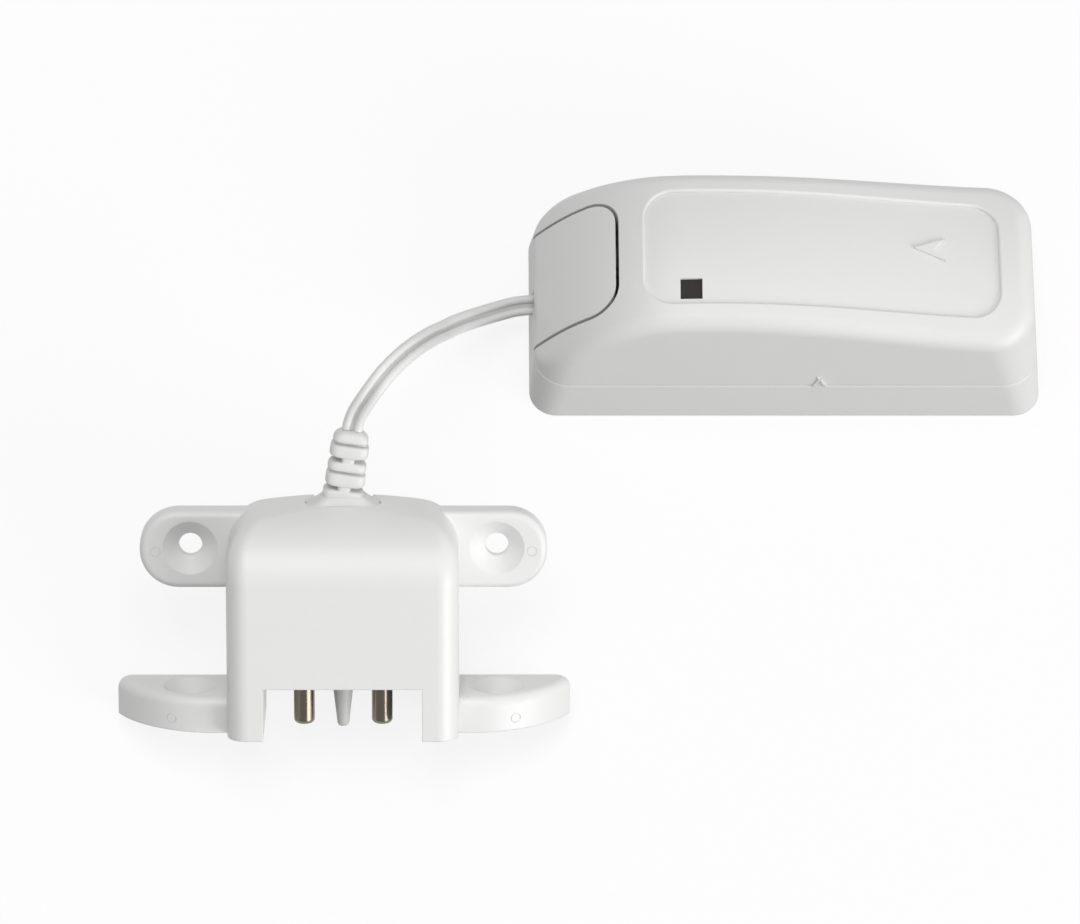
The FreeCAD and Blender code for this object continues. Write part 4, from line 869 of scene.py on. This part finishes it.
def add_floor(stage):
    """A floor that the camera and glossy pieces see as near white, with soft shadows kept."""
    shape = bmesh.new()
    bmesh.ops.create_grid(shape, x_segments=8, y_segments=8, size=stage.floor_size / 2)
    mesh = bpy.data.meshes.new("floor")
    shape.to_mesh(mesh)
    shape.free()
    floor = bpy.data.objects.new("floor", mesh)
    floor.location = (0, 0, -FLOOR_DROP)
    bpy.context.scene.collection.objects.link(floor)
    material = bpy.data.materials.new("floor")
    material.use_nodes = True
    tree = material.node_tree
    shader = tree.nodes["Principled BSDF"]
    shader.inputs["Roughness"].default_value = 0.9
    shader.inputs["Specular IOR Level"].default_value = 0.1
    glow = tree.nodes.new("ShaderNodeEmission")
    glow.inputs["Strength"].default_value = 1.0
    seen = rays(tree, "Is Camera Ray", "Is Glossy Ray")
    colour = mix_colour(tree, seen, opaque(stage.floor_colour), WHITE)
    tree.links.new(colour, shader.inputs["Base Color"])
    mix = tree.nodes.new("ShaderNodeMixShader")
    share = math_node(tree, "MULTIPLY", seen, stage.floor_glow)
    tree.links.new(share, mix.inputs["Fac"])
    tree.links.new(shader.outputs["BSDF"], mix.inputs[1])
    tree.links.new(glow.outputs["Emission"], mix.inputs[2])
    output = tree.nodes["Material Output"]
    tree.links.new(mix.outputs["Shader"], output.inputs["Surface"])
    mesh.materials.append(material)


def rays(tree, first, second):
    """A mask that is 1 for either of two kinds of ray."""
    light_path = tree.nodes.new("ShaderNodeLightPath")
    return math_node(
        tree, "ADD", light_path.outputs[first], light_path.outputs[second], clamp=True
    )


def add_lights(scene, stage):
    """A room that is white to the camera and dimmer as a light, and the two soft lamps."""
    world = bpy.data.worlds.new("room")
    scene.world = world
    world.use_nodes = True
    tree = world.node_tree
    background = tree.nodes["Background"]
    background.inputs["Color"].default_value = WHITE
    seen = rays(tree, "Is Camera Ray", "Is Transmission Ray")
    strength = math_node(tree, "MULTIPLY", seen, 1.0 - stage.sky_strength)
    strength = math_node(tree, "ADD", strength, stage.sky_strength)
    tree.links.new(strength, background.inputs["Strength"])
    add_lamp(scene, stage, "key", KEY_SIDE, stage.key_strength)
    add_lamp(scene, stage, "top", TOP_SIDE, stage.top_strength)


def add_lamp(scene, stage, name, side, strength):
    """A square area lamp that lights a white surface facing it to the given strength."""
    data = bpy.data.lights.new(name, "AREA")
    data.shape = "SQUARE"
    data.size = stage.lamp_size
    data.energy = strength * math.pi ** 2 * stage.lamp_distance ** 2
    lamp = bpy.data.objects.new(name, data)
    scene.collection.objects.link(lamp)
    direction = Vector(side).normalized()
    lamp.location = Vector(LAMP_TARGET) + direction * stage.lamp_distance
    lamp.rotation_euler = direction.to_track_quat("Z", "Y").to_euler()


class LEAKDETECTOR_OT_signal_lead(bpy.types.Operator):
    """Lays the twin lead between the probe and the transmitter"""
    bl_idname = "leakdetector.signal_lead"
    bl_label = "Signal lead"

    def execute(self, context):
        lead = settings().lead
        places = smooth_route(LEAD_ROUTE)
        outline = twin_profile(lead.width, lead.strand, lead.web)
        forwards, sides = side_vectors(places, Vector(LEAD_FACE))
        shape = bmesh.new()
        rings = []
        for place, forward, side in zip(places, forwards, sides):
            up = side.cross(forward)
            rings.append([
                shape.verts.new(place + side * across + up * through)
                for across, through in outline
            ])
        join_rings(shape, rings)
        bmesh.ops.recalc_face_normals(shape, faces=shape.faces)
        piece = add_piece("twin_lead", shape, lead_jacket(), "case")
        # Painted shade: a mask that is 1 at the middle of the web and fades to 0 to each side
        groove = piece.data.attributes.new("groove", "FLOAT", "POINT")
        reach = lead.width * GROOVE_SHADE_REACH
        shades = [max(0.0, 1.0 - abs(across) / reach) for across, _ in outline]
        groove.data.foreach_set("value", shades * len(places))
        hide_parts("signal_lead")
        return {"FINISHED"}


class LEAKDETECTOR_OT_case_shells(bpy.types.Operator):
    """Finishes the base, the cover, the end cover and the indicator window"""
    bl_idname = "leakdetector.case_shells"
    bl_label = "Case shells"

    def execute(self, context):
        for node in ("base_tray", "top_cover", "end_cover"):
            dress(node, case_plastic())
        dress("indicator_window", smoke_window())
        dress("indicator_led", led_lens())
        return {"FINISHED"}


class LEAKDETECTOR_OT_probe(bpy.types.Operator):
    """Finishes the probe's body, back, carrier, pins and strain relief"""
    bl_idname = "leakdetector.probe"
    bl_label = "Water probe"

    def execute(self, context):
        dress("probe_housing", probe_plastic())
        dress("probe_back", probe_plastic())
        dress("electrode_carrier", carrier_plastic())
        dress("electrode_pins", pin_nickel())
        dress("probe_wires", lead_jacket())
        self.add_relief()
        self.add_ejector_marks()
        return {"FINISHED"}

    def add_relief(self):
        shape = bmesh.new()
        collar = probe_place() @ Matrix.Translation(in_mm(COLLAR_FOOT))
        loft(shape, collar, COLLAR_RINGS)
        relief = probe_place() @ Matrix.Translation(in_mm(RELIEF_FOOT))
        loft(shape, relief @ Matrix.Rotation(-RELIEF_TILT, 4, "Z"), RELIEF_RINGS)
        bmesh.ops.recalc_face_normals(shape, faces=shape.faces)
        piece = add_piece("ribbed_relief", shape, relief_plastic(), "case")
        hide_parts("strain_relief")

    def add_ejector_marks(self):
        shape = bmesh.new()
        housing = NODES["probe_housing"]
        place = probe_place()
        inward = place.to_3x3() @ Vector((0, 0, -1))
        for across, up in EJECTOR_MARKS:
            start = place @ Vector(in_mm((across, up, SEARCH_START)))
            found, centre, normal, _ = housing.ray_cast(start, inward)
            if not found:
                raise RuntimeError("no face under an ejector mark")
            add_mark(shape, centre, normal)
        bmesh.ops.recalc_face_normals(shape, faces=shape.faces)
        add_piece("ejector_marks", shape, probe_plastic(), "case")


class LEAKDETECTOR_OT_electronics(bpy.types.Operator):
    """Finishes the board, the battery, the switches, the radio parts and the terminals"""
    bl_idname = "leakdetector.electronics"
    bl_label = "Electronics"

    def execute(self, context):
        dress("circuit_board", board_laminate())
        dress("battery", battery_sleeve())
        dress("battery_contacts", plated_sheet())
        dress("radio_shield", plated_sheet())
        dress("antenna", copper())
        dress("terminal_block", terminal_plastic())
        dress("lead_tie", tie_plastic())
        dress("lead_tails", lead_jacket())
        for node in ("microcontroller", "enrol_switch", "tamper_switch"):
            dress(node, black_plastic())
        for node in ("enrol_button", "tamper_plunger"):
            dress(node, button_plastic())
        for node in ("board_screws", "cover_screw", "terminal_screws"):
            dress(node, zinc_steel())
        return {"FINISHED"}


class LEAKDETECTOR_OT_board_parts(bpy.types.Operator):
    """Sets the small soldered parts on the board, with their ends, legs and joints"""
    bl_idname = "leakdetector.board_parts"
    bl_label = "Board parts"

    def execute(self, context):
        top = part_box("circuit_board")[1][2]
        self.add_chips(
            "chip_resistors", RESISTORS, RESISTOR_SIZE, top, black_plastic(), "black_plastic"
        )
        self.add_chips(
            "chip_capacitors", CAPACITORS, CAPACITOR_SIZE, top, ceramic(), "terminal_plastic"
        )
        self.add_crystal(top)
        self.add_switch_legs(top)
        self.add_solder(top)
        return {"FINISHED"}

    def add_chips(self, name, places, size, top, material, slot):
        bodies = bmesh.new()
        ends = bmesh.new()
        length, width, height = in_mm(size)
        cap = CHIP_CAP * MM
        body_size = (length - cap, width, height)
        # The plated ends stand a little proud of the body, and their edges are rounder
        end_size = (cap, width * 1.03, height * 1.04)
        body_edge, end_edge = in_mm((0.04, 0.05))
        for across, along, quarter in places:
            centre = Vector((across * MM, along * MM, top + height / 2))
            turn = quarter * math.pi / 2
            add_block(bodies, centre, body_size, body_edge, turn)
            reach = Matrix.Rotation(turn, 3, "Z") @ Vector(((length - cap) / 2, 0, 0))
            for side in (1, -1):
                add_block(ends, centre + side * reach, end_size, end_edge, turn)
        add_piece(name, bodies, material, "case")
        add_piece(name + "_ends", ends, solder(), "case")

    def add_crystal(self, top):
        shape = bmesh.new()
        across, along = in_mm(CRYSTAL_PLACE)
        for size, up, edge in CRYSTAL_PARTS:
            add_block(shape, Vector((across, along, top + up * MM)), in_mm(size), edge * MM)
        add_piece("crystal_can", shape, plated_sheet(), "case")

    def add_switch_legs(self, top):
        shape = bmesh.new()
        for node in ("enrol_switch", "tamper_switch"):
            low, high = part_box(node)
            inset = (high[1] - low[1]) * LEG_INSET
            for face, side in ((low[0], -1), (high[0], 1)):
                for along in (low[1] + inset, high[1] - inset):
                    for size, out, up in LEG_PARTS:
                        centre = Vector((face + side * out * MM, along, top + up * MM))
                        add_block(shape, centre, in_mm(size), LEG_EDGE * MM)
        add_piece("switch_legs", shape, plated_sheet(), "case")

    def add_solder(self, top):
        shape = bmesh.new()
        upright = Matrix.Rotation(math.pi / 2, 4, "X")
        low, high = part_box("antenna")
        middle = (low[0] + high[0]) / 2
        wire = (high[0] - low[0]) / 2
        for along in (low[1] + wire, high[1] - wire):
            loft(shape, Matrix.Translation((middle, along, top)) @ upright, SOLDER_RINGS)
        add_piece("solder_joints", shape, solder(), "case")


class LEAKDETECTOR_PT_pieces(bpy.types.Panel):
    """Lists the pieces of the water leak detector"""
    bl_idname = "LEAKDETECTOR_PT_pieces"
    bl_label = "Water leak detector"
    bl_space_type = "VIEW_3D"
    bl_region_type = "UI"
    bl_category = "Leak Detector"

    def draw(self, context):
        column = self.layout.column(align=True)
        for operator in OPERATORS:
            column.operator(operator.bl_idname)


OPERATORS = (
    LEAKDETECTOR_OT_stage,
    LEAKDETECTOR_OT_signal_lead,
    LEAKDETECTOR_OT_case_shells,
    LEAKDETECTOR_OT_probe,
    LEAKDETECTOR_OT_electronics,
    LEAKDETECTOR_OT_board_parts,
)
CLASSES = (
    CaseSettings, ProbeSettings, LeadSettings, BoardSettings, StageSettings, DetectorSettings,
    *OPERATORS, LEAKDETECTOR_PT_pieces,
)


def register():
    for cls in CLASSES:
        bpy.utils.register_class(cls)
    bpy.types.Scene.leak_detector = bpy.props.PointerProperty(type=DetectorSettings)


def unregister():
    del bpy.types.Scene.leak_detector
    for cls in reversed(CLASSES):
        bpy.utils.unregister_class(cls)


def main():
    register()
    for operator in OPERATORS:
        group, name = operator.bl_idname.split(".")
        getattr(getattr(bpy.ops, group), name)()


if __name__ == "__main__":
    main()
